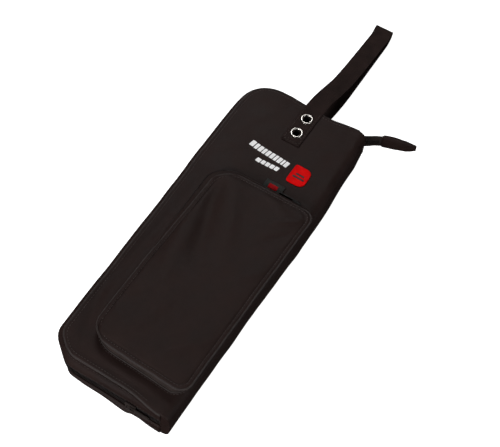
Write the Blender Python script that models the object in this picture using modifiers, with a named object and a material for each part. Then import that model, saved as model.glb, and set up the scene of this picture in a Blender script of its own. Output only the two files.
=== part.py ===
"""Drum stick bag: a padded book-style case with a zip round three sides.

Frame: the case lies on its back.  +X is the spine side, +Y the end with the hanging strap,
+Z the front with the pocket.  The origin is the middle of the back panel's outer face.
"""

import math

import bmesh
import bpy
from mathutils import Matrix, Vector

# ---- Driving dimensions, in metres ----------------------------------------------------
CASE_LENGTH = 0.455
CASE_WIDTH = 0.162
CASE_THICKNESS = 0.044
CORNER_RADIUS = 0.035        # the two corners away from the spine
SPINE_RADIUS = 0.011         # the spine's two rounded edges

GAP = 0.0003                 # between pieces that touch
SHELL = 0.0012               # outer fabric
FOAM = 0.0040                # padding
LINING = 0.0010              # inner fabric
WALL = 0.0015                # gusset fabric
TAPE = 0.0006                # zip tape
PIPING_RADIUS = 0.0015
SEAM_INSET = 0.0085          # from the gusset's outermost line in to each panel's piped seam
SEAM_TAPER = 0.00725         # how much of that the seam gives up as it nears the spine
TAPER_START_X = 0.012

COIL_CHANNEL = 0.0016        # way between the two rows of teeth, for the slider's post
COIL_HEIGHT = 0.0042
SLIDER_POST = 0.0009
MAIN_SLIDER_X = 0.031
MAIN_SLIDER_LENGTH = 0.014

STRAP_WIDTH = 0.0254
STRAP_THICKNESS = 0.0013
STRAP_X = 0.0035
STRAP_END_Y = 0.1585         # the sewn end on the front panel
STRAP_FOLD_Y = 0.2215        # where the strap leaves the front panel
LOOP_END_Y = 0.424
LOOP_BEND_RADIUS = 0.0046
# The loop from the fold out to its far end, and from there back to the gusset, as (y, z).
LOOP_OUT = ((0.2300, 0.0441), (0.2410, 0.0418), (0.2600, 0.0368), (0.2900, 0.0285), (0.3250, 0.0210),
            (0.3600, 0.0158), (0.3900, 0.0128))
LOOP_BACK = ((0.3800, 0.0018), (0.3200, 0.0018), (0.2650, 0.0020), (0.2480, 0.0050), (0.2380, 0.0125),
             (0.2320, 0.0220), (0.2292, 0.0310))

EYELET_Y = {"upper": 0.2010, "lower": 0.1755}
EYELET_RADIUS = 0.0082
EYELET_HOLE = 0.0045
EYELET_BARREL = 0.0004       # metal round the hole
EYELET_CROWN = 0.0014        # how far the rolled edge stands above the strap
WASHER = 0.0008

BADGE_X, BADGE_Y = 0.0383, 0.1213
BADGE_WIDTH, BADGE_HEIGHT, BADGE_CORNER, BADGE_THICKNESS = 0.0224, 0.0276, 0.0040, 0.0010
TAG_X, TAG_ABOVE_POCKET = 0.0200, 0.0095
TAG_WIDTH, TAG_HEIGHT, TAG_CORNER, TAG_THICKNESS = 0.0250, 0.0140, 0.0006, 0.0008

POCKET_LEFT, POCKET_RIGHT = -0.048, 0.075
POCKET_BOTTOM, POCKET_TOP = -0.198, 0.081
POCKET_HEIGHT = 0.0120       # front panel to the seam of the pocket's face
POCKET_CROWN = 0.0025
POCKET_SLIDER_X = 0.057
POCKET_SLIDER_LENGTH = 0.011

SLIDER_PLATE = 0.0014
BAIL_HALF_SPAN, BAIL_REACH, BAIL_RADIUS = 0.0040, 0.0034, 0.0005
BAIL_CORNER = 0.0008
PIVOT_REACH = 0.0031         # from the teeth's face out to the bar that the pull swings on
PULL_LENGTH, PULL_HALF_WIDTH, PULL_THICKNESS = 0.0250, 0.0034, 0.0012
PULL_BEHIND = 0.0006         # of the pull, behind the bar it swings on
PULL_CORNERS = (0.0004, 0.0020, 0.0020, 0.0004)
PULL_EYE_LENGTH, PULL_EYE_HALF_WIDTH, PULL_EYE_CORNER = 0.0066, 0.0018, 0.0003

TAIL_ROOT_X, TAIL_ROOT_Y = 0.0725, 0.2290
# Stations along the zip's tail and its cap: (x, y, z, half height).
TAIL_STATIONS = ((0.0790, 0.2315, 0.0218, 0.0102), (0.0860, 0.2360, 0.0212, 0.0096),
                 (0.0935, 0.2410, 0.0203, 0.0092))
TAIL_ROOT_HALF_HEIGHT, TAIL_THICKNESS = 0.0105, 0.0022
CAP_STATIONS = ((0.0938, 0.2414, 0.0203, 0.0098), (0.1000, 0.2445, 0.0190, 0.0102),
                (0.1110, 0.2500, 0.0160, 0.0086), (0.1220, 0.2570, 0.0115, 0.0066),
                (0.1305, 0.2640, 0.0075, 0.0050))
CAP_THICKNESS = 0.0044

FIRST_SLEEVE_X = -0.0715
SLEEVE_COUNT = 3
SLEEVE_WIDTH = 0.043
SLEEVE_PITCH = 0.048
SLEEVE_HEIGHT = 0.015
SLEEVE_BOTTOM, SLEEVE_MOUTH = -0.188, 0.150
INNER_POCKET_DEPTH = 0.005

# ---- Places worked out from them ------------------------------------------------------
HALF_LENGTH = CASE_LENGTH / 2
LEFT = -CASE_WIDTH / 2
RIGHT = CASE_WIDTH / 2
MID_Z = CASE_THICKNESS / 2
PANEL_END_X = RIGHT - SPINE_RADIUS            # where the flat panels start to bend
FOLD_OUT = SPINE_RADIUS * math.sin(math.radians(45))
FOLD_X = PANEL_END_X + FOLD_OUT               # the two fold lines along the spine
FOLD_BACK_Z = SPINE_RADIUS - FOLD_OUT
FOLD_FRONT_Z = CASE_THICKNESS - FOLD_BACK_Z

FOAM_START = SHELL + GAP
LINING_START = FOAM_START + FOAM + GAP
LINING_END = LINING_START + LINING

PIPING_Z = PIPING_RADIUS + 0.0004
PANEL_INSET = SEAM_INSET + PIPING_RADIUS + GAP     # the outer fabric stops inside the piping
LINING_INSET = 0.0068
LINING_TAPER = 0.0043
WALL_INSET = 0.0005 + WALL / 2                # middle of the gusset's thickness at its widest
COIL_TOP = MID_Z - COIL_CHANNEL / 2
COIL_BOTTOM = COIL_TOP - COIL_HEIGHT
TAPE_INSET = WALL_INSET + WALL / 2 + GAP + TAPE / 2
TAPE_BOTTOM = 0.0120
# The gusset bulges from the piped seam out to the zip: (inset, height) down its middle.
GUSSET_PROFILE = ((0.0080, 0.0046), (0.0055, 0.0054), (0.0034, 0.0070), (0.0020, 0.0094),
                  (WALL_INSET, 0.0128), (WALL_INSET, COIL_BOTTOM - GAP))

FRONT_Z = CASE_THICKNESS
ON_FRONT = FRONT_Z + GAP
STRAP_Z = ON_FRONT + STRAP_THICKNESS / 2

ARC_STEPS = 8
TAPER_STEPS = 5
FOLD_GAP_DEGREES = 3.5       # each layer stops this far short of a fold line

# ---- Scene set-up ---------------------------------------------------------------------
for old in list(bpy.data.objects):
    bpy.data.objects.remove(old, do_unlink=True)


def new_collection(name):
    collection = bpy.data.collections.new(name)
    bpy.context.scene.collection.children.link(collection)
    return collection


BAG = new_collection("drum_stick_bag")
CUTTERS = new_collection("cutters")


def material(name, colour, roughness, metallic=0.0):
    made = bpy.data.materials.new(name)
    made.use_nodes = True
    shader = made.node_tree.nodes["Principled BSDF"]
    shader.inputs["Base Color"].default_value = (*colour, 1.0)
    shader.inputs["Roughness"].default_value = roughness
    shader.inputs["Metallic"].default_value = metallic
    return made


NYLON = material("black_nylon", (0.022, 0.017, 0.016), 0.75)
FOAM_GREY = material("foam", (0.10, 0.10, 0.10), 0.95)
LINING_BLACK = material("lining", (0.015, 0.015, 0.017), 0.6)
PIPING_BLACK = material("piping", (0.018, 0.015, 0.015), 0.5)
WEBBING = material("webbing", (0.014, 0.011, 0.011), 0.8)
ZIP_TAPE = material("zip_tape", (0.018, 0.016, 0.016), 0.8)
ZIP_COIL = material("zip_coil", (0.012, 0.012, 0.012), 0.35)
DARK_METAL = material("slider_metal", (0.05, 0.05, 0.05), 0.3, 1.0)
NICKEL = material("nickel", (0.72, 0.71, 0.69), 0.2, 1.0)
RED_PATCH = material("red_patch", (0.72, 0.015, 0.02), 0.45)
TAG_GREY = material("woven_tag", (0.05, 0.05, 0.055), 0.8)


# ---- Bodies: one empty on each moving group's axis ------------------------------------
def body(name, pivot, parent=None):
    empty = bpy.data.objects.new(name, None)
    empty.empty_display_size = 0.02
    BAG.objects.link(empty)
    base = Vector(parent["pivot"]) if parent else Vector((0, 0, 0))
    empty["pivot"] = tuple(pivot)
    empty.location = Vector(pivot) - base
    empty.parent = parent
    return empty


def join_body(obj, group):
    """Put a piece, made in world coordinates, under its body's empty."""
    obj.data.transform(Matrix.Translation(-Vector(group["pivot"])))
    obj.parent = group
    return obj


# ---- Shape helpers --------------------------------------------------------------------
def arc(centre, radius, start, end, steps=ARC_STEPS):
    """Points on an arc in a plane; angles in degrees."""
    angles = [math.radians(start + (end - start) * i / steps) for i in range(steps + 1)]
    return [(centre[0] + radius * math.cos(a), centre[1] + radius * math.sin(a)) for a in angles]


def add_solidify(obj, thickness):
    solid = obj.modifiers.new("thickness", "SOLIDIFY")
    solid.thickness = thickness
    solid.offset = 0.0
    solid.use_even_offset = True
    return obj


def new_mesh_object(name, mesh, look, collection=BAG):
    obj = bpy.data.objects.new(name, mesh)
    collection.objects.link(obj)
    mesh.materials.append(look)
    return obj


def strip(name, path, half_width, thickness, look, closed=False):
    """A band of fabric: a path widened both ways by half_width, then given its thickness."""
    widths = half_width if isinstance(half_width, list) else [half_width] * len(path)
    sheet = bmesh.new()
    rails = []
    for point, width in zip(path, widths):
        rails.append((sheet.verts.new(Vector(point) - Vector(width)),
                      sheet.verts.new(Vector(point) + Vector(width))))
    following = rails[1:] + rails[:1] if closed else rails[1:]
    for (low_a, high_a), (low_b, high_b) in zip(rails, following):
        sheet.faces.new((low_a, low_b, high_b, high_a))
    mesh = bpy.data.meshes.new(name)
    sheet.to_mesh(mesh)
    sheet.free()
    return add_solidify(new_mesh_object(name, mesh, look), thickness)


def wall(name, path, low, high, thickness, look, closed=False):
    """An upright band along a path in XY, from height low to height high."""
    points = [(x, y, (low + high) / 2) for x, y in path]
    return strip(name, points, (0, 0, (high - low) / 2), thickness, look, closed)


def cord(name, path, radius, look, cyclic=False):
    """A round cord, such as piping, along a path of 3-D points."""
    curve = bpy.data.curves.new(name, "CURVE")
    curve.dimensions = "3D"
    curve.bevel_depth = radius
    curve.bevel_resolution = 2
    curve.use_fill_caps = True
    spline = curve.splines.new("POLY")
    spline.points.add(len(path) - 1)
    for point, place in zip(spline.points, path):
        point.co = (*place, 1.0)
    spline.use_cyclic_u = cyclic
    curve.materials.append(look)
    obj = bpy.data.objects.new(name, curve)
    BAG.objects.link(obj)
    return obj


def plate(name, outlines, thickness, look, frame):
    """Flat outlines, the first the rim and the others holes, extruded; frame places them."""
    curve = bpy.data.curves.new(name, "CURVE")
    curve.dimensions = "2D"
    curve.fill_mode = "BOTH"
    curve.extrude = thickness / 2
    for outline in outlines:
        spline = curve.splines.new("POLY")
        spline.points.add(len(outline) - 1)
        for point, (u, v) in zip(spline.points, outline):
            point.co = (u, v, 0.0, 1.0)
        spline.use_cyclic_u = True
    flat = bpy.data.objects.new(name + "_outline", curve)
    BAG.objects.link(flat)
    depsgraph = bpy.context.evaluated_depsgraph_get()
    mesh = bpy.data.meshes.new_from_object(flat.evaluated_get(depsgraph))
    bpy.data.objects.remove(flat, do_unlink=True)
    mesh.materials.clear()
    mesh.name = name
    solid = bmesh.new()
    solid.from_mesh(mesh)
    bmesh.ops.remove_doubles(solid, verts=solid.verts, dist=0.00001)
    bmesh.ops.transform(solid, matrix=frame, verts=solid.verts)
    solid.to_mesh(mesh)
    solid.free()
    return new_mesh_object(name, mesh, look)


def rounded_rectangle(left, bottom, right, top, radii, steps=4):
    """Counter-clockwise outline; radii in the order left-bottom, right-bottom, right-top, left-top."""
    a, b, c, d = radii
    points = arc((left + a, bottom + a), a, 180, 270, steps)
    points += arc((right - b, bottom + b), b, 270, 360, steps)
    points += arc((right - c, top - c), c, 0, 90, steps)
    points += arc((left + d, top - d), d, 90, 180, steps)
    return points


def turned(name, profile, centre, look, steps=24):
    """A ring turned about Z from a closed profile that runs down its outer side."""
    mesh = bpy.data.meshes.new(name)
    count = len(profile)
    edges = [(i, (i + 1) % count) for i in range(count)]
    mesh.from_pydata([(r, 0.0, z) for r, z in profile], edges, [])
    obj = new_mesh_object(name, mesh, look)
    screw = obj.modifiers.new("turn", "SCREW")
    screw.steps = steps
    screw.render_steps = steps
    screw.use_merge_vertices = True
    screw.merge_threshold = 0.00005
    obj.location = centre
    return obj


def cut(obj, cutter):
    boolean = obj.modifiers.new("cut_" + cutter.name, "BOOLEAN")
    boolean.operation = "DIFFERENCE"
    boolean.object = cutter


def cylinder_cutter(name, x, y, z, radius, depth):
    drum = bmesh.new()
    bmesh.ops.create_cone(drum, cap_ends=True, segments=24, radius1=radius, radius2=radius, depth=depth)
    mesh = bpy.data.meshes.new(name)
    drum.to_mesh(mesh)
    drum.free()
    obj = bpy.data.objects.new(name, mesh)
    CUTTERS.objects.link(obj)
    obj.location = (x, y, z)
    obj.hide_render = True
    obj.display_type = "WIRE"
    return obj


# ---- The case -------------------------------------------------------------------------
def seam_give(inset):
    """How far a line on the panels or the gusset moves out as it nears the spine."""
    return min(max((inset - WALL_INSET) / (SEAM_INSET - WALL_INSET), 0), 1) * SEAM_TAPER


def end_run(inset, give):
    """The straight upper or lower side, as (x, distance from the middle), out to the spine.

    The piped seams draw out to the case's corners there, so that the spine has its full length.
    """
    run = []
    for i in range(TAPER_STEPS + 1):
        t = i / TAPER_STEPS
        x = TAPER_START_X + t * (PANEL_END_X - TAPER_START_X)
        run.append((x, HALF_LENGTH - inset + give * t * t * (3 - 2 * t)))
    return run


def rim_path(inset, give=0.0):
    """Round three sides, from the spine along the bottom, up the left side and along the top."""
    radius = CORNER_RADIUS - inset
    middle_x = LEFT + CORNER_RADIUS
    middle_y = HALF_LENGTH - CORNER_RADIUS
    path = [(x, -y) for x, y in reversed(end_run(inset, give))]
    path += arc((middle_x, -middle_y), radius, 270, 180)
    path += arc((middle_x, middle_y), radius, 180, 90)
    path += end_run(inset, give)
    return path


def panel_path(inset, give, depth, is_front):
    """Stations across a panel and its half lengths; depth is below the outer face."""
    radius = CORNER_RADIUS - inset
    stations = [(x, HALF_LENGTH - CORNER_RADIUS + side)
                for x, side in arc((LEFT + CORNER_RADIUS, 0), radius, 180, 90)]
    stations += end_run(inset, give)
    places = [(x, 0.0, depth) for x, _ in stations]
    lengths = [(0, half, 0) for _, half in stations]
    bend = arc((PANEL_END_X, SPINE_RADIUS), SPINE_RADIUS - depth, 270, 315 - FOLD_GAP_DEGREES, 4)
    places += [(x, 0.0, z) for x, z in bend[1:]]
    lengths += [lengths[-1]] * (len(bend) - 1)
    if is_front:
        places = [(x, y, CASE_THICKNESS - z) for x, y, z in places]
    return places, lengths


def bulged_band(name, profile, thickness, look, is_front):
    """A band round the rim whose section is a profile of (inset, height)."""
    sheet = bmesh.new()
    rows = []
    for inset, height in profile:
        z = front_or_back(height, is_front)
        rows.append([sheet.verts.new((x, y, z)) for x, y in rim_path(inset, seam_give(inset))])
    for low, high in zip(rows, rows[1:]):
        for i in range(len(low) - 1):
            sheet.faces.new((low[i], low[i + 1], high[i + 1], high[i]))
    mesh = bpy.data.meshes.new(name)
    sheet.to_mesh(mesh)
    sheet.free()
    return add_solidify(new_mesh_object(name, mesh, look), thickness)


def front_or_back(z, is_front):
    return CASE_THICKNESS - z if is_front else z


def build_half(side, group, is_front):
    """The layers, piping, gusset and zip of one half of the case."""
    layers = (("shell", PANEL_INSET, SEAM_TAPER, SHELL / 2, SHELL, NYLON),
              ("foam", PANEL_INSET, SEAM_TAPER, FOAM_START + FOAM / 2, FOAM, FOAM_GREY),
              ("lining", LINING_INSET, LINING_TAPER, LINING_START + LINING / 2, LINING, LINING_BLACK))
    made = {}
    for layer, inset, give, depth, thickness, look in layers:
        places, lengths = panel_path(inset, give, depth, is_front)
        made[layer] = strip(f"{side}_{layer}", places, lengths, thickness, look)

    z = front_or_back(PIPING_Z, is_front)
    piping = [(x, y, z) for x, y in rim_path(SEAM_INSET, SEAM_TAPER)]
    made["piping"] = cord(f"{side}_piping", piping, PIPING_RADIUS, PIPING_BLACK)

    made["gusset"] = bulged_band(f"{side}_gusset", GUSSET_PROFILE, WALL, NYLON, is_front)
    bands = (("zip_tape", TAPE_INSET, TAPE_BOTTOM, COIL_TOP, TAPE, ZIP_TAPE),
             ("zip_coil", WALL_INSET, COIL_BOTTOM, COIL_TOP, WALL, ZIP_COIL))
    for band, inset, low, high, thickness, look in bands:
        ends = sorted((front_or_back(low, is_front), front_or_back(high, is_front)))
        made[band] = wall(f"{side}_{band}", rim_path(inset), *ends, thickness, look)
    for piece in made.values():
        join_body(piece, group)
    return made


def build_spine(group):
    """The part of each layer that wraps round between the two fold lines."""
    layers = (("shell", SHELL / 2, SHELL, NYLON),
              ("foam", FOAM_START + FOAM / 2, FOAM, FOAM_GREY),
              ("lining", LINING_START + LINING / 2, LINING, LINING_BLACK))
    for layer, depth, thickness, look in layers:
        radius = SPINE_RADIUS - depth
        low = arc((PANEL_END_X, SPINE_RADIUS), radius, 315 + FOLD_GAP_DEGREES, 360, 4)
        high = arc((PANEL_END_X, CASE_THICKNESS - SPINE_RADIUS), radius, 0, 45 - FOLD_GAP_DEGREES, 4)
        places = [(x, 0.0, z) for x, z in low + high]
        inset = LINING_INSET - LINING_TAPER if layer == "lining" else PANEL_INSET - SEAM_TAPER
        half = HALF_LENGTH - inset
        join_body(strip(f"spine_{layer}", places, (0, half, 0), thickness, look), group)


# ---- Zip sliders ----------------------------------------------------------------------
def h_section(inner, outer, depth, height, post):
    """Two upright plates joined by a thin post; u runs outward, v runs up."""
    tall, thin = height / 2, post / 2
    right = [(outer, -tall), (outer + depth, -tall), (outer + depth, tall), (outer, tall),
             (outer, thin)]
    left = [(inner, thin), (inner, tall), (inner - depth, tall), (inner - depth, -tall),
            (inner, -tall), (inner, -thin)]
    return right + left + [(outer, -thin)]


def build_slider(prefix, x, face_y, outward, z, sizes, slider_body, pull_body):
    """A slider astride an upright zip; outward is +1 or -1 along Y and face_y the teeth's face."""
    length, height, behind = sizes
    across = Matrix(((0, 0, outward, x), (outward, 0, 0, face_y), (0, 1, 0, z), (0, 0, 0, 1)))
    section = h_section(-behind, GAP, SLIDER_PLATE, height, SLIDER_POST)
    join_body(plate(f"{prefix}_slider", [section], length, DARK_METAL, across), slider_body)

    plate_y = face_y + outward * (GAP + SLIDER_PLATE)
    crown_y = plate_y + outward * BAIL_REACH
    shoulder_y = crown_y - outward * BAIL_CORNER
    foot_y = plate_y + outward * (BAIL_RADIUS - 0.0001)     # its ends are sunk into the plate
    inner = BAIL_HALF_SPAN - BAIL_CORNER
    bail = [(x - BAIL_HALF_SPAN, foot_y, z), (x - BAIL_HALF_SPAN, shoulder_y, z), (x - inner, crown_y, z),
            (x + inner, crown_y, z), (x + BAIL_HALF_SPAN, shoulder_y, z), (x + BAIL_HALF_SPAN, foot_y, z)]
    join_body(cord(f"{prefix}_slider_bail", bail, BAIL_RADIUS, DARK_METAL), slider_body)

    bar_y = pull_body["pivot"][1]
    rim = rounded_rectangle(-PULL_BEHIND, -PULL_HALF_WIDTH, PULL_LENGTH, PULL_HALF_WIDTH, PULL_CORNERS, 3)
    eye = rounded_rectangle(PULL_BEHIND, -PULL_EYE_HALF_WIDTH, PULL_EYE_LENGTH, PULL_EYE_HALF_WIDTH,
                            (PULL_EYE_CORNER,) * 4, 2)
    upright = Matrix(((-outward, 0, 0, x), (0, 0, outward, bar_y), (0, 1, 0, z), (0, 0, 0, 1)))
    join_body(plate(f"{prefix}_zip_pull", [rim, eye], PULL_THICKNESS, DARK_METAL, upright), pull_body)


# ---- Zip tail -------------------------------------------------------------------------
TAIL_ROOT = (TAIL_ROOT_X, TAIL_ROOT_Y, MID_Z)


def build_tail(group):
    """The zip's end, which runs on past the case, and its folded fabric cap."""
    tape = ((*TAIL_ROOT, TAIL_ROOT_HALF_HEIGHT), *TAIL_STATIONS)
    for name, stations, thickness, look in (("zip_tail_tape", tape, TAIL_THICKNESS, ZIP_TAPE),
                                            ("zip_tail_cap", CAP_STATIONS, CAP_THICKNESS, NYLON)):
        path = [(x, y, z) for x, y, z, _ in stations]
        heights = [(0, 0, half) for _, _, _, half in stations]
        join_body(strip(name, path, heights, thickness, look), group)


# ---- Strap and eyelets ----------------------------------------------------------------
STRAP_PIVOT = (STRAP_X, STRAP_FOLD_Y, STRAP_Z)


def build_strap(front_group, loop_group, front):
    width = (STRAP_WIDTH / 2, 0, 0)
    anchor_path = [(STRAP_X, STRAP_END_Y, STRAP_Z), (STRAP_X, STRAP_FOLD_Y - 0.0012, STRAP_Z)]
    anchor = join_body(strip("strap_anchor", anchor_path, width, STRAP_THICKNESS, WEBBING), front_group)

    # Over the top edge, down to the surface the case lies on, round and back to the gusset.
    far_end = (LOOP_END_Y - LOOP_BEND_RADIUS, LOOP_BACK[0][1] + LOOP_BEND_RADIUS)
    bend = arc(far_end, LOOP_BEND_RADIUS, 85, -90, 7)
    loop_path = [(STRAP_X, y, z) for y, z in ((STRAP_FOLD_Y, STRAP_Z), *LOOP_OUT, *bend, *LOOP_BACK)]
    join_body(strip("strap_loop", loop_path, width, STRAP_THICKNESS, WEBBING), loop_group)

    for place, y in EYELET_Y.items():
        hole = cylinder_cutter(f"eyelet_hole_{place}", STRAP_X, y, FRONT_Z, EYELET_HOLE + 0.0008, 0.006)
        recess = cylinder_cutter(f"foam_recess_{place}", STRAP_X, y, FRONT_Z - 0.003,
                                 EYELET_RADIUS + 0.0004, 0.012)
        cut(anchor, hole)
        cut(front["shell"], hole)
        cut(front["foam"], recess)
        build_eyelet(place, y, front_group)


def build_eyelet(place, y, group):
    """A rolled metal eyelet through strap and fabric, and the washer it is set on."""
    under = STRAP_THICKNESS + 2 * GAP
    top = under + EYELET_CROWN
    barrel = EYELET_HOLE + EYELET_BARREL
    washer_top = -SHELL - GAP
    bottom = washer_top - WASHER - GAP - EYELET_BARREL
    eyelet = [(EYELET_RADIUS - 0.0012, top - 0.0003), (EYELET_RADIUS, top - 0.0008),
              (EYELET_RADIUS, under), (barrel, under), (barrel, bottom), (EYELET_HOLE, bottom),
              (EYELET_HOLE, top - 0.0010), (EYELET_HOLE + 0.0008, top - 0.0003), (EYELET_HOLE + 0.0017, top)]
    ring = turned(f"eyelet_{place}", eyelet, (STRAP_X, y, FRONT_Z), NICKEL)
    rim = EYELET_RADIUS - EYELET_BARREL
    washer = [(rim, washer_top), (rim, washer_top - WASHER), (barrel + GAP, washer_top - WASHER),
              (barrel + GAP, washer_top)]
    disc = turned(f"eyelet_washer_{place}", washer, (STRAP_X, y, FRONT_Z), NICKEL)
    for piece in (ring, disc):
        piece.location -= Vector(group["pivot"])
        piece.parent = group


# ---- Labels ---------------------------------------------------------------------------
def build_labels(group):
    """A plain patch and a plain woven tag, each a little above the front panel."""
    labels = (("badge_patch", BADGE_X, BADGE_Y, BADGE_WIDTH, BADGE_HEIGHT, BADGE_CORNER,
               BADGE_THICKNESS, RED_PATCH),
              ("woven_tag", TAG_X, POCKET_TOP + TAG_ABOVE_POCKET, TAG_WIDTH, TAG_HEIGHT, TAG_CORNER,
               TAG_THICKNESS, TAG_GREY))
    for name, x, y, width, height, corner, thickness, look in labels:
        outline = rounded_rectangle(-width / 2, -height / 2, width / 2, height / 2, (corner,) * 4)
        place = Matrix.Translation((x, y, ON_FRONT + thickness / 2))
        join_body(plate(name, [outline], thickness, look, place), group)


# ---- Front pocket ---------------------------------------------------------------------
POCKET_RADII = (0.025, 0.014, 0.012, 0.028)
POCKET_WALL = 0.0012
POCKET_COIL = 0.0012
POCKET_PIPING_RADIUS = 0.0009
POCKET_PIPING_OUT = 0.0012   # its middle, out from the pocket's outline
POCKET_ZIP_Z = FRONT_Z + POCKET_HEIGHT / 2
POCKET_HINGE = ((POCKET_LEFT + POCKET_RIGHT) / 2, POCKET_BOTTOM - 0.0015, POCKET_ZIP_Z)
# The pocket's face from its seam to its flat crown: (inset, share of the crown's rise).
POCKET_FACE = ((GAP, 0.0), (0.006, 0.7), (0.011, 1.0))


def pocket_outline(inset):
    radii = [radius - inset for radius in POCKET_RADII]
    return rounded_rectangle(POCKET_LEFT + inset, POCKET_BOTTOM + inset, POCKET_RIGHT - inset,
                             POCKET_TOP - inset, radii, 6)


def pocket_zip_path(inset):
    """Up the right side, along the top and down the left side; open at the pocket's foot."""
    _, foot, right_top, left_top = POCKET_RADII
    right, left, top = POCKET_RIGHT - inset, POCKET_LEFT + inset, POCKET_TOP - inset
    path = [(right, POCKET_BOTTOM + POCKET_RADII[0])]
    path += arc((POCKET_RIGHT - right_top, POCKET_TOP - right_top), right_top - inset, 0, 90, 6)
    path += arc((POCKET_LEFT + left_top, POCKET_TOP - left_top), left_top - inset, 90, 180, 6)
    path += [(left, POCKET_BOTTOM + POCKET_RADII[0])]
    return path


def build_pocket(front_group, flap_group):
    middle = POCKET_WALL / 2
    half_channel = COIL_CHANNEL / 2
    lower_top = POCKET_ZIP_Z - half_channel - POCKET_COIL - GAP
    upper_low = POCKET_ZIP_Z + half_channel + POCKET_COIL + GAP
    face_z = FRONT_Z + POCKET_HEIGHT

    base = [(x, y, ON_FRONT + POCKET_PIPING_RADIUS) for x, y in pocket_outline(-POCKET_PIPING_OUT)]
    lower = (cord("pocket_base_piping", base, POCKET_PIPING_RADIUS, PIPING_BLACK, cyclic=True),
             wall("pocket_lower_wall", pocket_outline(middle), ON_FRONT, lower_top,
                  POCKET_WALL, NYLON, closed=True),
             wall("pocket_lower_coil", pocket_zip_path(middle), lower_top + GAP,
                  POCKET_ZIP_Z - half_channel, POCKET_WALL, ZIP_COIL))
    for piece in lower:
        join_body(piece, front_group)

    wall_top = face_z - SHELL
    seam = [(x, y, face_z + 0.0002) for x, y in pocket_outline(-POCKET_PIPING_OUT)]
    upper = (wall("pocket_upper_coil", pocket_zip_path(middle), POCKET_ZIP_Z + half_channel,
                  upper_low - GAP, POCKET_WALL, ZIP_COIL),
             wall("pocket_upper_wall", pocket_outline(middle), upper_low, wall_top,
                  POCKET_WALL, NYLON, closed=True),
             cord("pocket_face_piping", seam, POCKET_PIPING_RADIUS, PIPING_BLACK, cyclic=True),
             build_pocket_face(face_z))
    for piece in upper:
        join_body(piece, flap_group)


def build_pocket_face(face_z):
    """A face that rises from its seam to a flat crown."""
    dish = bmesh.new()
    loops = [[dish.verts.new((x, y, face_z + share * POCKET_CROWN)) for x, y in pocket_outline(inset)]
             for inset, share in POCKET_FACE]
    for low, high in zip(loops, loops[1:]):
        for i in range(len(low)):
            j = (i + 1) % len(low)
            dish.faces.new((low[i], low[j], high[j], high[i]))
    dish.faces.new(loops[-1])
    mesh = bpy.data.meshes.new("pocket_face")
    dish.to_mesh(mesh)
    dish.free()
    return add_solidify(new_mesh_object("pocket_face", mesh, NYLON), SHELL)


# ---- Inside pockets -------------------------------------------------------------------
def arch_path(left, right, foot, height, corner, swell=0.0):
    """Cross-section of a sleeve, from one foot over the top to the other; swell grows it."""
    sign = 1 if height > 0 else -1
    left, right, height = left - swell, right + swell, height + sign * swell
    radius = corner + swell
    top = foot + height - sign * radius
    over = arc((left + radius, 0), radius, 180, 90, 4) + arc((right - radius, 0), radius, 90, 0, 4)
    places = [(left, foot)] + [(x, top + sign * z) for x, z in over] + [(right, foot)]
    return [(x, 0.0, z) for x, z in places]


def build_sleeve(name, left, right, foot, height, corner, group):
    """A fabric sleeve sewn to the lining, open at its ends, with binding round its mouth."""
    middle_y = (SLEEVE_BOTTOM + SLEEVE_MOUTH) / 2
    half = (SLEEVE_MOUTH - SLEEVE_BOTTOM) / 2
    body_path = [(x, middle_y, z) for x, _, z in arch_path(left, right, foot, height, corner)]
    join_body(strip(name, body_path, (0, half, 0), LINING, LINING_BLACK), group)
    mouth = arch_path(left, right, foot, height, corner, 0.0012)
    mouth = [(x, SLEEVE_MOUTH - 0.005, z) for x, _, z in mouth]
    join_body(strip(f"{name}_binding", mouth, (0, 0.0055, 0), 0.0008, PIPING_BLACK), group)


def build_inside(back_group, front_group):
    first = FIRST_SLEEVE_X
    for index in range(SLEEVE_COUNT):
        left = first + index * SLEEVE_PITCH
        build_sleeve(f"stick_sleeve_{index + 1}", left, left + SLEEVE_WIDTH, LINING_END + GAP,
                     SLEEVE_HEIGHT, 0.006, back_group)
    build_sleeve("front_inner_pocket", -0.060, 0.054, CASE_THICKNESS - LINING_END - GAP,
                 -INNER_POCKET_DEPTH, 0.003, front_group)


# ---- Assembly -------------------------------------------------------------------------
def main():
    back = body("back_half", (0, 0, 0))
    spine = body("spine", (FOLD_X, 0, FOLD_BACK_Z), back)
    front = body("front_half", (FOLD_X, 0, FOLD_FRONT_Z), spine)
    loop = body("strap", STRAP_PIVOT, front)
    flap = body("pocket_flap", POCKET_HINGE, front)
    tail = body("zip_tail", TAIL_ROOT, spine)

    teeth_y = -HALF_LENGTH + WALL_INSET - WALL / 2
    main_slider = body("main_slider_body", (MAIN_SLIDER_X, teeth_y, MID_Z), back)
    main_pull = body("main_pull_body", (MAIN_SLIDER_X, teeth_y - PIVOT_REACH, MID_Z), main_slider)
    pocket_slider = body("pocket_slider_body", (POCKET_SLIDER_X, POCKET_TOP, POCKET_ZIP_Z), front)
    pocket_pull = body("pocket_pull_body", (POCKET_SLIDER_X, POCKET_TOP + PIVOT_REACH, POCKET_ZIP_Z),
                       pocket_slider)

    build_half("back", back, is_front=False)
    front_pieces = build_half("front", front, is_front=True)
    build_spine(spine)
    build_inside(back, front)
    build_strap(front, loop, front_pieces)
    build_labels(front)
    build_pocket(front, flap)
    build_tail(tail)
    main_sizes = (MAIN_SLIDER_LENGTH, 0.0110, WALL + TAPE + 2 * GAP)
    build_slider("main", MAIN_SLIDER_X, teeth_y, -1, MID_Z, main_sizes, main_slider, main_pull)
    pocket_sizes = (POCKET_SLIDER_LENGTH, 0.0070, POCKET_WALL + GAP)
    build_slider("pocket", POCKET_SLIDER_X, POCKET_TOP, 1, POCKET_ZIP_Z, pocket_sizes,
                 pocket_slider, pocket_pull)


main()
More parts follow.
